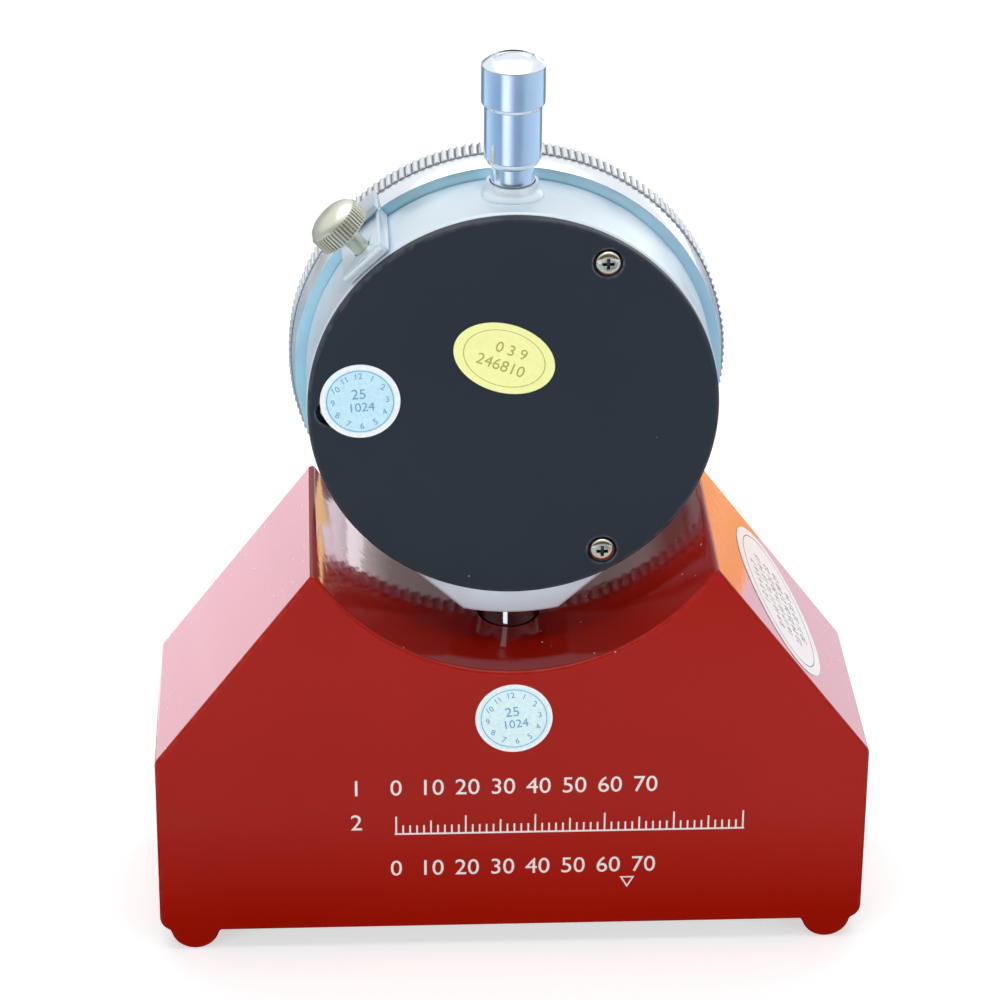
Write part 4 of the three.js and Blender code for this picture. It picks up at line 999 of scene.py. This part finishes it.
cover = turned("rear_cover", [(cover_radius, cover_face), (cover_radius, cover_inner)], 192)
face_forward(cover)
screw_places = []
for name in screw_names:
    low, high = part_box(name)
    place = ((low.x + high.x) / 2, (low.z + high.z) / 2)
    hidden = place[0] < -cover_radius / 2
    depth = hidden_well_depth if hidden else well_depth
    screw_places.append((name, place, cover_face + hidden_head_depth if hidden else low.y, depth))
    combine(cover, rod("well", well_radius, cover_face - mm, cover_face + depth, "Y", 64, place))
    combine(cover, rod("hole", mm, cover_face - mm, cover_inner + mm, "Y", 48, place))
round_edges(cover, lambda edge: all(
    corner.co.y < cover_face + tolerance
    and math.hypot(corner.co.x, corner.co.z - gauge_height) > cover_radius - tolerance
    for corner in edge.verts), cover_rim, 4)
soften(cover, 0.15 * mm, 3, 50)
fit(cover, slate_cover(), "base", "blackened_cover", "back_cover")

nickel = plain_metal("warm_nickel", (0.90, 0.84, 0.68), (0.78, 0.71, 0.54), 0.16, wear=0.5)
# The faces inside each cross recess get a darker, duller metal
dark_recess = plain_metal("dark_recess", (0.16, 0.15, 0.11), (0.07, 0.06, 0.045), 0.36)
for number, (name, (x, z), head_top, depth) in enumerate(screw_places):
    low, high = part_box(name)
    pan_radius = (high.x - low.x) / 2 + 0.12 * mm
    under = cover_face + depth - 0.1 * mm
    rings = [(0.85 * mm, high.y), (0.85 * mm, under), (pan_radius, under)]
    rings += [(pan_radius * part, head_top + depth * mm) for part, depth in (
        (1, 0.5), (0.94, 0.28), (0.8, 0.13), (0.6, 0.04), (0.35, 0))]
    head = turned("cover_fixing_" + str(number + 1), rings, 64)
    for first, second in ((recess_arm, recess_half), (recess_half, recess_arm)):
        arm = block("arm", (-first, -second, head_top - mm), (first, second, head_top + recess_depth))
        choose(arm, "FACE", lambda face: face.normal.z > 0.9)
        bpy.ops.transform.resize(value=(0.5, 0.5, 1), center_override=(0, 0, 0))
        bpy.ops.object.mode_set(mode="OBJECT")
        combine(head, arm)
    soften(head, 0.07 * mm, 2, 35)
    face_forward(head, x, z)
    fit(head, nickel, "base", "nickelled_steel", name)
    head.data.materials.append(dark_recess)
    for face in head.data.polygons:
        from_axis = math.hypot(face.center.x - x, face.center.z - z)
        if from_axis < 1.1 * mm and head_top + 0.14 * mm < face.center.y < under - tolerance:
            face.material_index = 1

# Bezel lock
# A milled plate on the case's rim hooks over the bezel's skirt, and a knurled screw clamps the bezel.
# The plate is plated like the case, the thumbscrew is turned, knurled and nickelled.
lock_angle = math.radians(133.5)
plate_bottom = case_radius + 0.15 * mm
plate_top = plate_bottom + 1.15 * mm
plate_half = 3.5 * mm
plate_back = case_back + 0.1 * mm
hook_bottom = skirt_radius + 0.3 * mm
hook_top = hook_bottom + 0.8 * mm
hook_front = band_back - 0.2 * mm
lock_screw_y = plate_back + 4.2 * mm
lock_shank = 1.15 * mm
lock_head_start = plate_top + 2.95 * mm
lock_head_end = lock_head_start + 2.9 * mm
lock_head_radius = 3.75 * mm
lock_knurls = 48
lock_knurl_depth = 0.2 * mm
lock_knurl_floor = lock_head_radius - lock_knurl_depth
rib_height = 0.35 * mm
plate_groove = 0.5 * mm


def swing(piece):
    """From upright on the gauge's axis to the lock's place on the rim"""
    piece.location = (0, 0, gauge_height)
    piece.rotation_euler.y = math.pi / 2 - lock_angle
    settle(piece)


bracket = block("lock_clamp_plate", (-plate_half, plate_back, plate_bottom),
                (plate_half, case_shoulder - 0.3 * mm, plate_top))
hook = block("hook", (-plate_half, case_shoulder - 1.2 * mm, hook_bottom),
             (plate_half, hook_front, hook_top))
combine(bracket, hook, "UNION")
rib = block("rib", (plate_half - 0.6 * mm, plate_back, plate_bottom),
            (plate_half, hook_front, plate_top + rib_height))
combine(rib, rod("skirt room", hook_bottom, case_shoulder - 0.3 * mm, hook_front + mm, "Y", 192))
combine(bracket, rib, "UNION")
combine(bracket,
        rod("hole", lock_shank + 0.12 * mm, plate_bottom - mm, plate_top + mm, "Z", 64, (0, lock_screw_y)))
groove_low = (-plate_half - mm, plate_back + 0.8 * mm, plate_top - 0.3 * mm)
groove_high = (plate_half - mm, plate_back + 0.8 * mm + plate_groove, plate_top + mm)
combine(bracket, block("groove", groove_low, groove_high))
soften(bracket, 0.12 * mm, 3)
swing(bracket)
fit(bracket, plating, "base", "satin_case", "lock_bracket")

lock_rings = [
    (lock_shank, cavity_radius + mm), (lock_shank, lock_head_start),
    (lock_head_radius - 0.35 * mm, lock_head_start), (lock_knurl_floor, lock_head_start + 0.15 * mm),
    (lock_knurl_floor, lock_head_end - 0.55 * mm),
    *[(lock_head_radius * part, lock_head_end + height * mm) for part, height in (
        (0.92, -0.25), (0.83, 0.2), (0.66, 0.58), (0.44, 0.84), (0.16, 0.95))],
]
thumbscrew = turned("lock_knob", lock_rings, lock_knurls * 3)


def on_knurl(face):
    """Two of every three narrow faces round the head's side"""
    spot = face.calc_center_median()
    column = math.degrees(math.atan2(spot.y, spot.x)) / (120 / lock_knurls)
    level = lock_head_start + 0.2 * mm < spot.z < lock_head_end - 0.6 * mm
    return level and spot.xy.length > lock_head_radius - 0.4 * mm and math.floor(column) % 3 != 0


choose(thumbscrew, "FACE", on_knurl)
bpy.ops.mesh.inset(thickness=0.05 * mm, depth=lock_knurl_depth)
bpy.ops.object.mode_set(mode="OBJECT")
even_shading(thumbscrew)
thumbscrew.location.y = lock_screw_y
settle(thumbscrew)
swing(thumbscrew)
lock_axis = (math.cos(lock_angle), 0, math.sin(lock_angle))
# Its first colour darkens the knurl's grooves as painted shade
knob_knurl = ((0.42, 0.41, 0.30), (0, lock_screw_y, gauge_height), lock_axis, lock_knurl_floor,
              lock_head_radius - lock_knurl_depth / 3, lock_head_start + 0.16 * mm, lock_head_end - 0.5 * mm)
knob_nickel = plain_metal("knob_nickel", (0.74, 0.77, 0.66), (0.64, 0.67, 0.56), 0.36, wear=0.3,
                          knurl=knob_knurl, metallic=0.7)
fit(thumbscrew, knob_nickel, "lock_screw", "nickelled_steel", "lock_thumbscrew")

# Labels
# Printed foil labels are stuck on the cover, on the casting's front and on its right slope.
# Each has a pale border, a printed ring and plain numbers only.
foil = 0.08 * mm
foil_edge = 0.03 * mm
ring_line = 0.1 * mm
slope_turn = math.atan2(block_high.z - shoulder, block_high.x - ridge)
slope_along = Vector((math.cos(slope_turn), 0, -math.sin(slope_turn)))
slope_top = Vector((ridge, 0, block_high.z))
slope_reading = math.radians(102)
slope_row_gap = 2.2 * mm
clock_reach = 0.68
clock_figure = 0.23
label_white = printing_ink("label_white", (0.84, 0.91, 0.98), 0.25)
label_blue = printing_ink("label_blue", (0.54, 0.80, 0.97), 0.25)
label_pale_blue = printing_ink("label_pale_blue", (0.68, 0.88, 0.98), 0.25)
blue_ink = printing_ink("label_blue_ink", (0.15, 0.36, 0.58))
label_yellow = printing_ink("label_yellow", (0.92, 0.97, 0.40), 0.25)
yellow_ink = printing_ink("label_yellow_ink", (0.40, 0.43, 0.10))
label_pearl = printing_ink("label_pearl", (0.93, 0.95, 0.99), 0.4, gloss=0.1)
grey_ink = printing_ink("label_grey_ink", (0.20, 0.25, 0.27))


def oval_sheet(name, radius, height_radius, low, high, width=0):
    """A flat round or oval sheet, or only a line round its rim"""
    if width:
        sheet = tube(name, radius - width, radius, low, high)
    else:
        sheet = turned(name, [(radius, low), (radius, high)])
    sheet.scale.y = height_radius / radius
    return settle(sheet)


def stick_on(prefix, size, height, place, lean, field_share, ring_share, rows, colours, clock=False):
    """A label, turned by lean degrees: border, field, ring line, rows of figures, and on a clock 1 to 12"""
    border = oval_sheet(prefix + "_label", size, height, 0, foil)
    soften(border, foil_edge, 2)
    field = oval_sheet(prefix + "_label_field", size * field_share, height * field_share, foil - ink,
                       foil + ink)
    marks = [oval_sheet("ring", size * ring_share, height * ring_share, foil, foil + 2 * ink, ring_line)]
    for figures, tall, across, up in rows:
        marks.append(printed(figures, tall, (across, up, foil + ink), (0, 0, 0), 2 * ink))
    for number in range(12 if clock else 0):
        angle = 2 * math.pi * (number + 1) / 12
        reach = size * clock_reach
        spot = (reach * math.sin(angle), reach * math.cos(angle), foil + ink)
        tilt = (0, 0, -math.sin(2 * angle) / 2)
        marks.append(printed(str(number + 1), size * clock_figure, spot, tilt, 2 * ink))
    print_piece = join_all(marks, prefix + "_label_print")
    for piece, colour in zip((border, field, print_piece), colours):
        piece.rotation_euler = (upright, math.radians(lean), 0)
        piece.location = place
        settle(piece)
        fit(piece, colour, "base", "printed_label")


round_rows = [("25", 2.0 * mm, -0.1 * mm, 0.95 * mm), ("1024", 1.75 * mm, 0.1 * mm, -0.9 * mm)]
stick_on("cover", 5.18 * mm, 5.18 * mm, (-19.8 * mm, cover_face, 77.9 * mm), -4, 0.87, 0.84, round_rows,
         (label_white, label_blue, blue_ink), clock=True)
stick_on("front", 5.1 * mm, 5.1 * mm, (0, block_low.y, 35.1 * mm), -8, 0.93, 0.86, round_rows,
         (label_white, label_pale_blue, blue_ink), clock=True)
yellow_rows = [("0 3 9", 2.1 * mm, 0.5 * mm, 1.25 * mm), ("246810", 2.2 * mm, -0.1 * mm, -1.1 * mm)]
stick_on("oval", 6.75 * mm, 4.75 * mm, (-1.3 * mm, cover_face, 83.7 * mm), 21, 0.9, 0.81, yellow_rows,
         (label_yellow, label_yellow, yellow_ink))
slope_rows = ["1 2 3 4 5 6 7", "8 9 10 11 12 13 14 15", "16 17 18 19 20 21 22", "23 24 25 26 27 28 29",
              "30 31 32 33 34"]
slope_place = slope_top + slope_along * 16.7 * mm + Vector((0, -0.7 * mm, 0))
slope_border = oval_sheet("slope_label", 14.6 * mm, 8.4 * mm, 0, foil)
soften(slope_border, foil_edge, 2)
slope_marks = [oval_sheet("ring", 13.2 * mm, 7.0 * mm, foil - ink, foil + ink, 0.22 * mm)]
for row, figures in enumerate(slope_rows):
    slope_marks.append(printed(figures, 1.8 * mm, (0, (2 - row) * slope_row_gap, foil), (0, 0, 0), 2 * ink))
slope_print = join_all(slope_marks, "slope_label_print")
for piece, colour in ((slope_border, label_pearl), (slope_print, grey_ink)):
    piece.rotation_euler.z = slope_reading
    settle(piece)
    piece.rotation_euler.y = slope_turn
    piece.location = slope_place
    settle(piece)
    fit(piece, colour, "base", "printed_label")

# Print on the front
# A white screen-printed scale with plain numbers stands on the casting's front, over an open triangle.
# It is only a film of ink, so every mark is a very thin solid on the enamel.
front_ink = printing_ink("white_front_ink", (0.80, 0.76, 0.75))
front_face = block_low.y - ink / 2
scale_start = -15.6
figure_gap = 4.75
division_gap = 0.93
front_figure = 3.4 * mm
half_line = 0.11 * mm
scale_low = 17.45 * mm
scale_line = 17.7 * mm


def front_mark(low_x, high_x, low_z, high_z):
    """A thin printed bar on the casting's front"""
    return block("bar", (low_x, block_low.y - ink, low_z), (high_x, block_low.y, high_z))


front_marks = []
for column, row, count, first in ((-20.9, 24.6, 1, 1), (-20.9, 19.3, 1, 2), (scale_start, 24.6, 8, 0),
                                  (scale_start, 12.1, 8, 0)):
    for number in range(count):
        place = ((column + figure_gap * number) * mm, front_face, row * mm)
        front_marks.append(printed(str(first + 10 * number), front_figure, place, (upright, 0, 0)))
for step in range(51):
    across = (scale_start + division_gap * step) * mm
    tall = (2.6 if step % 10 == 0 else 1.9 if step % 5 == 0 else 1.2) * mm
    front_marks.append(front_mark(across - half_line, across + half_line, scale_line, scale_line + tall))
front_marks.append(front_mark(-15.8 * mm, 31.1 * mm, scale_low, scale_line))
arrow = tube("arrow", 0.75 * mm, 1.15 * mm, -ink, 0, 3)
arrow.rotation_euler = (-upright, 0, 0)
arrow.location = (15.5 * mm, block_low.y, 9.7 * mm)
front_marks.append(settle(arrow))
front_print = join_all(front_marks, "front_print")
fit(front_print, front_ink, "base", "printed_label")

# Studio
# A pale floor with painted reflections in it and painted shade near the object, soft lamps round the object,
# and cards that are seen only as reflections in the paint.
# The camera stands where the photograph's stood.
camera_azimuth = math.radians(-2.984)
camera_height = math.radians(26.614)
camera_roll = math.radians(0.5)
camera_distance = 516.13 * mm
camera_target = Vector((-1.24 * mm, 0, 59.04 * mm))
camera_lens = 139.82
floor_half = 3.0


def pale_floor():
    """A matt pale floor, white to the camera; to reflections it shows painted colours: bluish ahead, dark at
    the sides, and a glowing ring of coloured stripes that paints the cap's highlight; to all other rays it
    is painted dark next to the object as shade
    """
    material, tree, shader = new_finish("pale_floor", roughness=0.9, specular_ior_level=0.1)
    cloud = use_group(tree, clouding, Scale=2, Detail=2)
    pale = blend_colours(tree, cloud, (0.86, 0.86, 0.865), (0.875, 0.875, 0.88))
    place = put(tree, "TexCoord").outputs["Object"]
    across, depth, _ = put(tree, "SeparateXYZ", {0: place}).outputs
    sideways = calculate(tree, "ABSOLUTE", across)
    away = measure(tree, "LENGTH", place)
    bearing = calculate(tree, "ARCTAN2", across, calculate(tree, "MULTIPLY", depth, -1))
    # Painted reflection: a ring of coloured stripes round the object, seen only in reflections, that the cap
    # mirrors as its highlight and darker stripes
    cap_reflection_bands = put(tree, "ValToRGB", {"Fac": between(tree, bearing, -math.pi, math.pi)})
    far_colour = (0.16, 0.23, 0.30)
    for degrees, colour in ((-126, (0.52, 0.67, 0.84)), (-110, (0.44, 0.60, 0.79)),
                            (-80, (0.25, 0.42, 0.58)), (-50, (0.21, 0.35, 0.54)), (-37, (0.9, 1, 1)),
                            (-21, (0.9, 1, 1)), (-7, (0.42, 0.53, 0.75)), (5, (0.23, 0.32, 0.48)),
                            (28, (0.22, 0.31, 0.46)), (45, (0.34, 0.47, 0.62)), (80, (0.40, 0.55, 0.73)),
                            (126, (0.52, 0.66, 0.84)), (138, far_colour)):
        stop = cap_reflection_bands.color_ramp.elements.new((degrees + 180) / 360)
        stop.color = (*colour, 1)
    for end, place_of_end in ((0, (-138 + 180) / 360), (-1, 1)):
        cap_reflection_bands.color_ramp.elements[end].position = place_of_end
        cap_reflection_bands.color_ramp.elements[end].color = (*far_colour, 1)
    # Painted reflection: bluish tones ahead of the object, seen only in reflections
    reflection_tint = blend_colours(tree, between(tree, across, -0.01, 0.035), (0.40, 0.80, 1.0), (0.22, 0.33, 0.46))
    reflection_tint = blend_colours(tree, between(tree, across, 0.08, 0.14), reflection_tint, (0.48, 0.66, 0.86))
    reflection_tint = blend_colours(tree, between(tree, across, -0.13, -0.17), reflection_tint, (0.20, 0.36, 0.55))
    rays = put(tree, "LightPath").outputs
    mirrored = rays["Is Glossy Ray"]
    shown = blend_colours(tree, both(tree, mirrored, between(tree, depth, -0.09, -0.15)), pale, reflection_tint)
    # Painted reflection: a pale lavender ring, seen only in reflections
    shown = blend_colours(tree, both(tree, mirrored, between(tree, away, 0.35, 0.37)), shown,
                          (0.95, 0.88, 1.0))
    # Painted reflection: darker blue-grey at the sides, seen only in reflections
    dark_sides_in_reflection = both(tree, mirrored, between(tree, sideways, 0.03, 0.06), between(tree, depth, 0.05, 0.09),
                  between(tree, depth, 0.5, 0.4))
    shown = blend_colours(tree, dark_sides_in_reflection, shown, (0.26, 0.38, 0.50))
    direct = rays["Is Camera Ray"]
    # Painted shade: to every ray but the camera's the floor next to the object is nearly black, so less
    # light bounces up onto the casting's lower front and its reflection darkens
    unseen = calculate(tree, "SUBTRACT", 1, direct)
    near_object_shade = both(tree, unseen, between(tree, depth, -0.05, -0.024), between(tree, depth, 0.02, 0.01),
                 between(tree, sideways, 0.09, 0.07))
    shown = blend_colours(tree, near_object_shade, shown, (0.03, 0.02, 0.02))
    # Painted highlight: the ring glows in reflections only, so the cap shows it as its highlight
    cap_highlight_ring = both(tree, mirrored, between(tree, away, 0.25, 0.265), between(tree, away, 0.365, 0.355))
    tree.links.new(blend_colours(tree, cap_highlight_ring, shown, (0, 0, 0)), shader.inputs["Base Color"])
    tree.links.new(blend_colours(tree, cap_highlight_ring, (1, 1, 1), cap_reflection_bands.outputs[0]),
                   shader.inputs["Emission Color"])
    lift = both(tree, direct, between(tree, away, 0.8, 1.3, 0.55, 1.0))
    glow = calculate(tree, "MULTIPLY", cap_highlight_ring, 1.2)
    tree.links.new(calculate(tree, "ADD", lift, glow), shader.inputs["Emission Strength"])
    return material


deselect()
bpy.ops.mesh.primitive_plane_add(size=2 * floor_half, location=(0, 0, 0))
floor = settle(bpy.context.object, "floor")
floor.data.materials.append(pale_floor())


def lamp(name, place, aim, size, size_y, power, colour=(1, 1, 1), gloss=True, diffuse=True):
    """A soft rectangular lamp that the camera itself doesn't see"""
    deselect()
    bpy.ops.object.light_add(type="AREA", location=place)
    light = bpy.context.object
    light.name = name
    light.data.shape = "RECTANGLE"
    light.data.size, light.data.size_y = size, size_y
    light.data.energy = power
    light.data.color = colour
    light.rotation_euler = (Vector(aim) - Vector(place)).to_track_quat("-Z", "Y").to_euler()
    light.visible_camera = False
    light.visible_diffuse = diffuse
    light.visible_glossy = gloss
    return light


enamel_shows = bpy.data.collections.new("pieces that show the cards")
for piece in (casting, slope_border, slope_print):
    enamel_shows.objects.link(piece)
stem_shows = bpy.data.collections.new("pieces that show the glint")
stem_shows.objects.link(stem)


def reflector(name, low, high, brightness, colour, shown_in):
    """A small upright card that only the chosen pieces reflect"""
    low, high = Vector(low), Vector(high)
    wide, tall = (high.xy - low.xy).length, high.z - low.z
    place = (low + high) / 2
    across = (high - low).xy.normalized()
    aim = place + Vector((across.y, -across.x, 0))
    light = lamp(name, place, aim, wide, tall, brightness * math.pi * wide * tall, colour, diffuse=False)
    light.light_linking.receiver_collection = shown_in


middle_of_object = (0, 0, 0.06)
orange = (1, 0.38, 0.04)
gold = (1, 0.62, 0.2)
rose = (1, 0.77, 0.86)
lavender = (0.97, 0.88, 1)
lamp("overhead", (0, 0.3, 1.3), middle_of_object, 1.4, 1.4, 11.5)
lamp("left front", (-1.1, -1.0, 0.26), middle_of_object, 0.9, 0.5, 12, gloss=False)
lamp("right front", (1.1, -0.9, 0.24), middle_of_object, 0.8, 0.45, 9.4, gloss=False)
for name, low, high, brightness, colour in (
        ("left card", (-0.13, 0.055, 0.001), (-0.03, 0.065, 0.054), 2.8, rose),
        ("right low card", (0.03, 0.062, 0.001), (0.13, 0.058, 0.0331), 1.6, rose),
        ("right high card", (0.036, 0.062, 0.0331), (0.10, 0.058, 0.047), 2.1, orange),
        ("gold card", (-0.005, 0.062, 0.028), (0.004, 0.0615, 0.0463), 2.5, gold),
        ("low gold card", (0.004, 0.0615, 0.028), (0.02, 0.0605, 0.0432), 2.5, gold),
        ("pale card", (0.0005, 0.062, 0.0465), (0.034, 0.06, 0.0535), 2.5, lavender),
        ("low pale card", (0.004, 0.0615, 0.0435), (0.034, 0.06, 0.0464), 2.5, lavender)):
    reflector(name, low, high, brightness, colour, enamel_shows)
reflector("stem glint", (-0.0004, -0.0046, 0.0415), (-0.0012, -0.0046, 0.0456), 2.3, (0.9, 0.97, 1),
          stem_shows)

world = bpy.data.worlds.new("soft studio")
bpy.context.scene.world = world
world.use_nodes = True
world_tree = world.node_tree
path = put(world_tree, "LightPath").outputs
heading = put(world_tree, "TexCoord").outputs["Generated"]
ahead = measure(world_tree, "DOT_PRODUCT", heading, (0, 1, 1.2))
in_gloss = between(world_tree, ahead, -0.4, 0.5, 0.1, 1.0)
sideways, onward, upward = put(world_tree, "SeparateXYZ", {0: heading}).outputs
low_down = both(world_tree, between(world_tree, upward, 0.2, 0.08), between(world_tree, onward, 0.3, 0.6))
at_sides = between(world_tree, sideways, -0.1, 0.3, 0.3, 2.2)
level = put(world_tree, "Mix", {"Factor": low_down, "A": 1.0, "B": at_sides}).outputs[0]
gloss_part = both(world_tree, path["Is Glossy Ray"], in_gloss, level)
open_part = calculate(world_tree, "MAXIMUM", path["Is Camera Ray"], path["Is Transmission Ray"])
seen = calculate(world_tree, "MAXIMUM", open_part, gloss_part)
strength = calculate(world_tree, "MAXIMUM", seen, 0.09)
background = world_tree.nodes["Background"]
background.inputs["Color"].default_value = (1, 1, 1, 1)
world_tree.links.new(strength, background.inputs["Strength"])

back = Vector((math.sin(camera_azimuth) * math.cos(camera_height),
               -math.cos(camera_azimuth) * math.cos(camera_height), math.sin(camera_height)))
right = Vector((0, 0, 1)).cross(back).normalized()
up = back.cross(right)
rolled_right = right * math.cos(camera_roll) + up * math.sin(camera_roll)
rolled_up = up * math.cos(camera_roll) - right * math.sin(camera_roll)
deselect()
bpy.ops.object.camera_add()
camera = bpy.context.object
camera.data.lens = camera_lens
camera.data.sensor_width = 36
camera.data.sensor_fit = "HORIZONTAL"
camera.data.clip_start = 0.01
camera.matrix_world = Matrix.Translation(camera_target + back * camera_distance) @ Matrix(
    (rolled_right, rolled_up, back)).transposed().to_4x4()
bpy.context.scene.camera = camera
bpy.context.scene.view_settings.view_transform = "Standard"
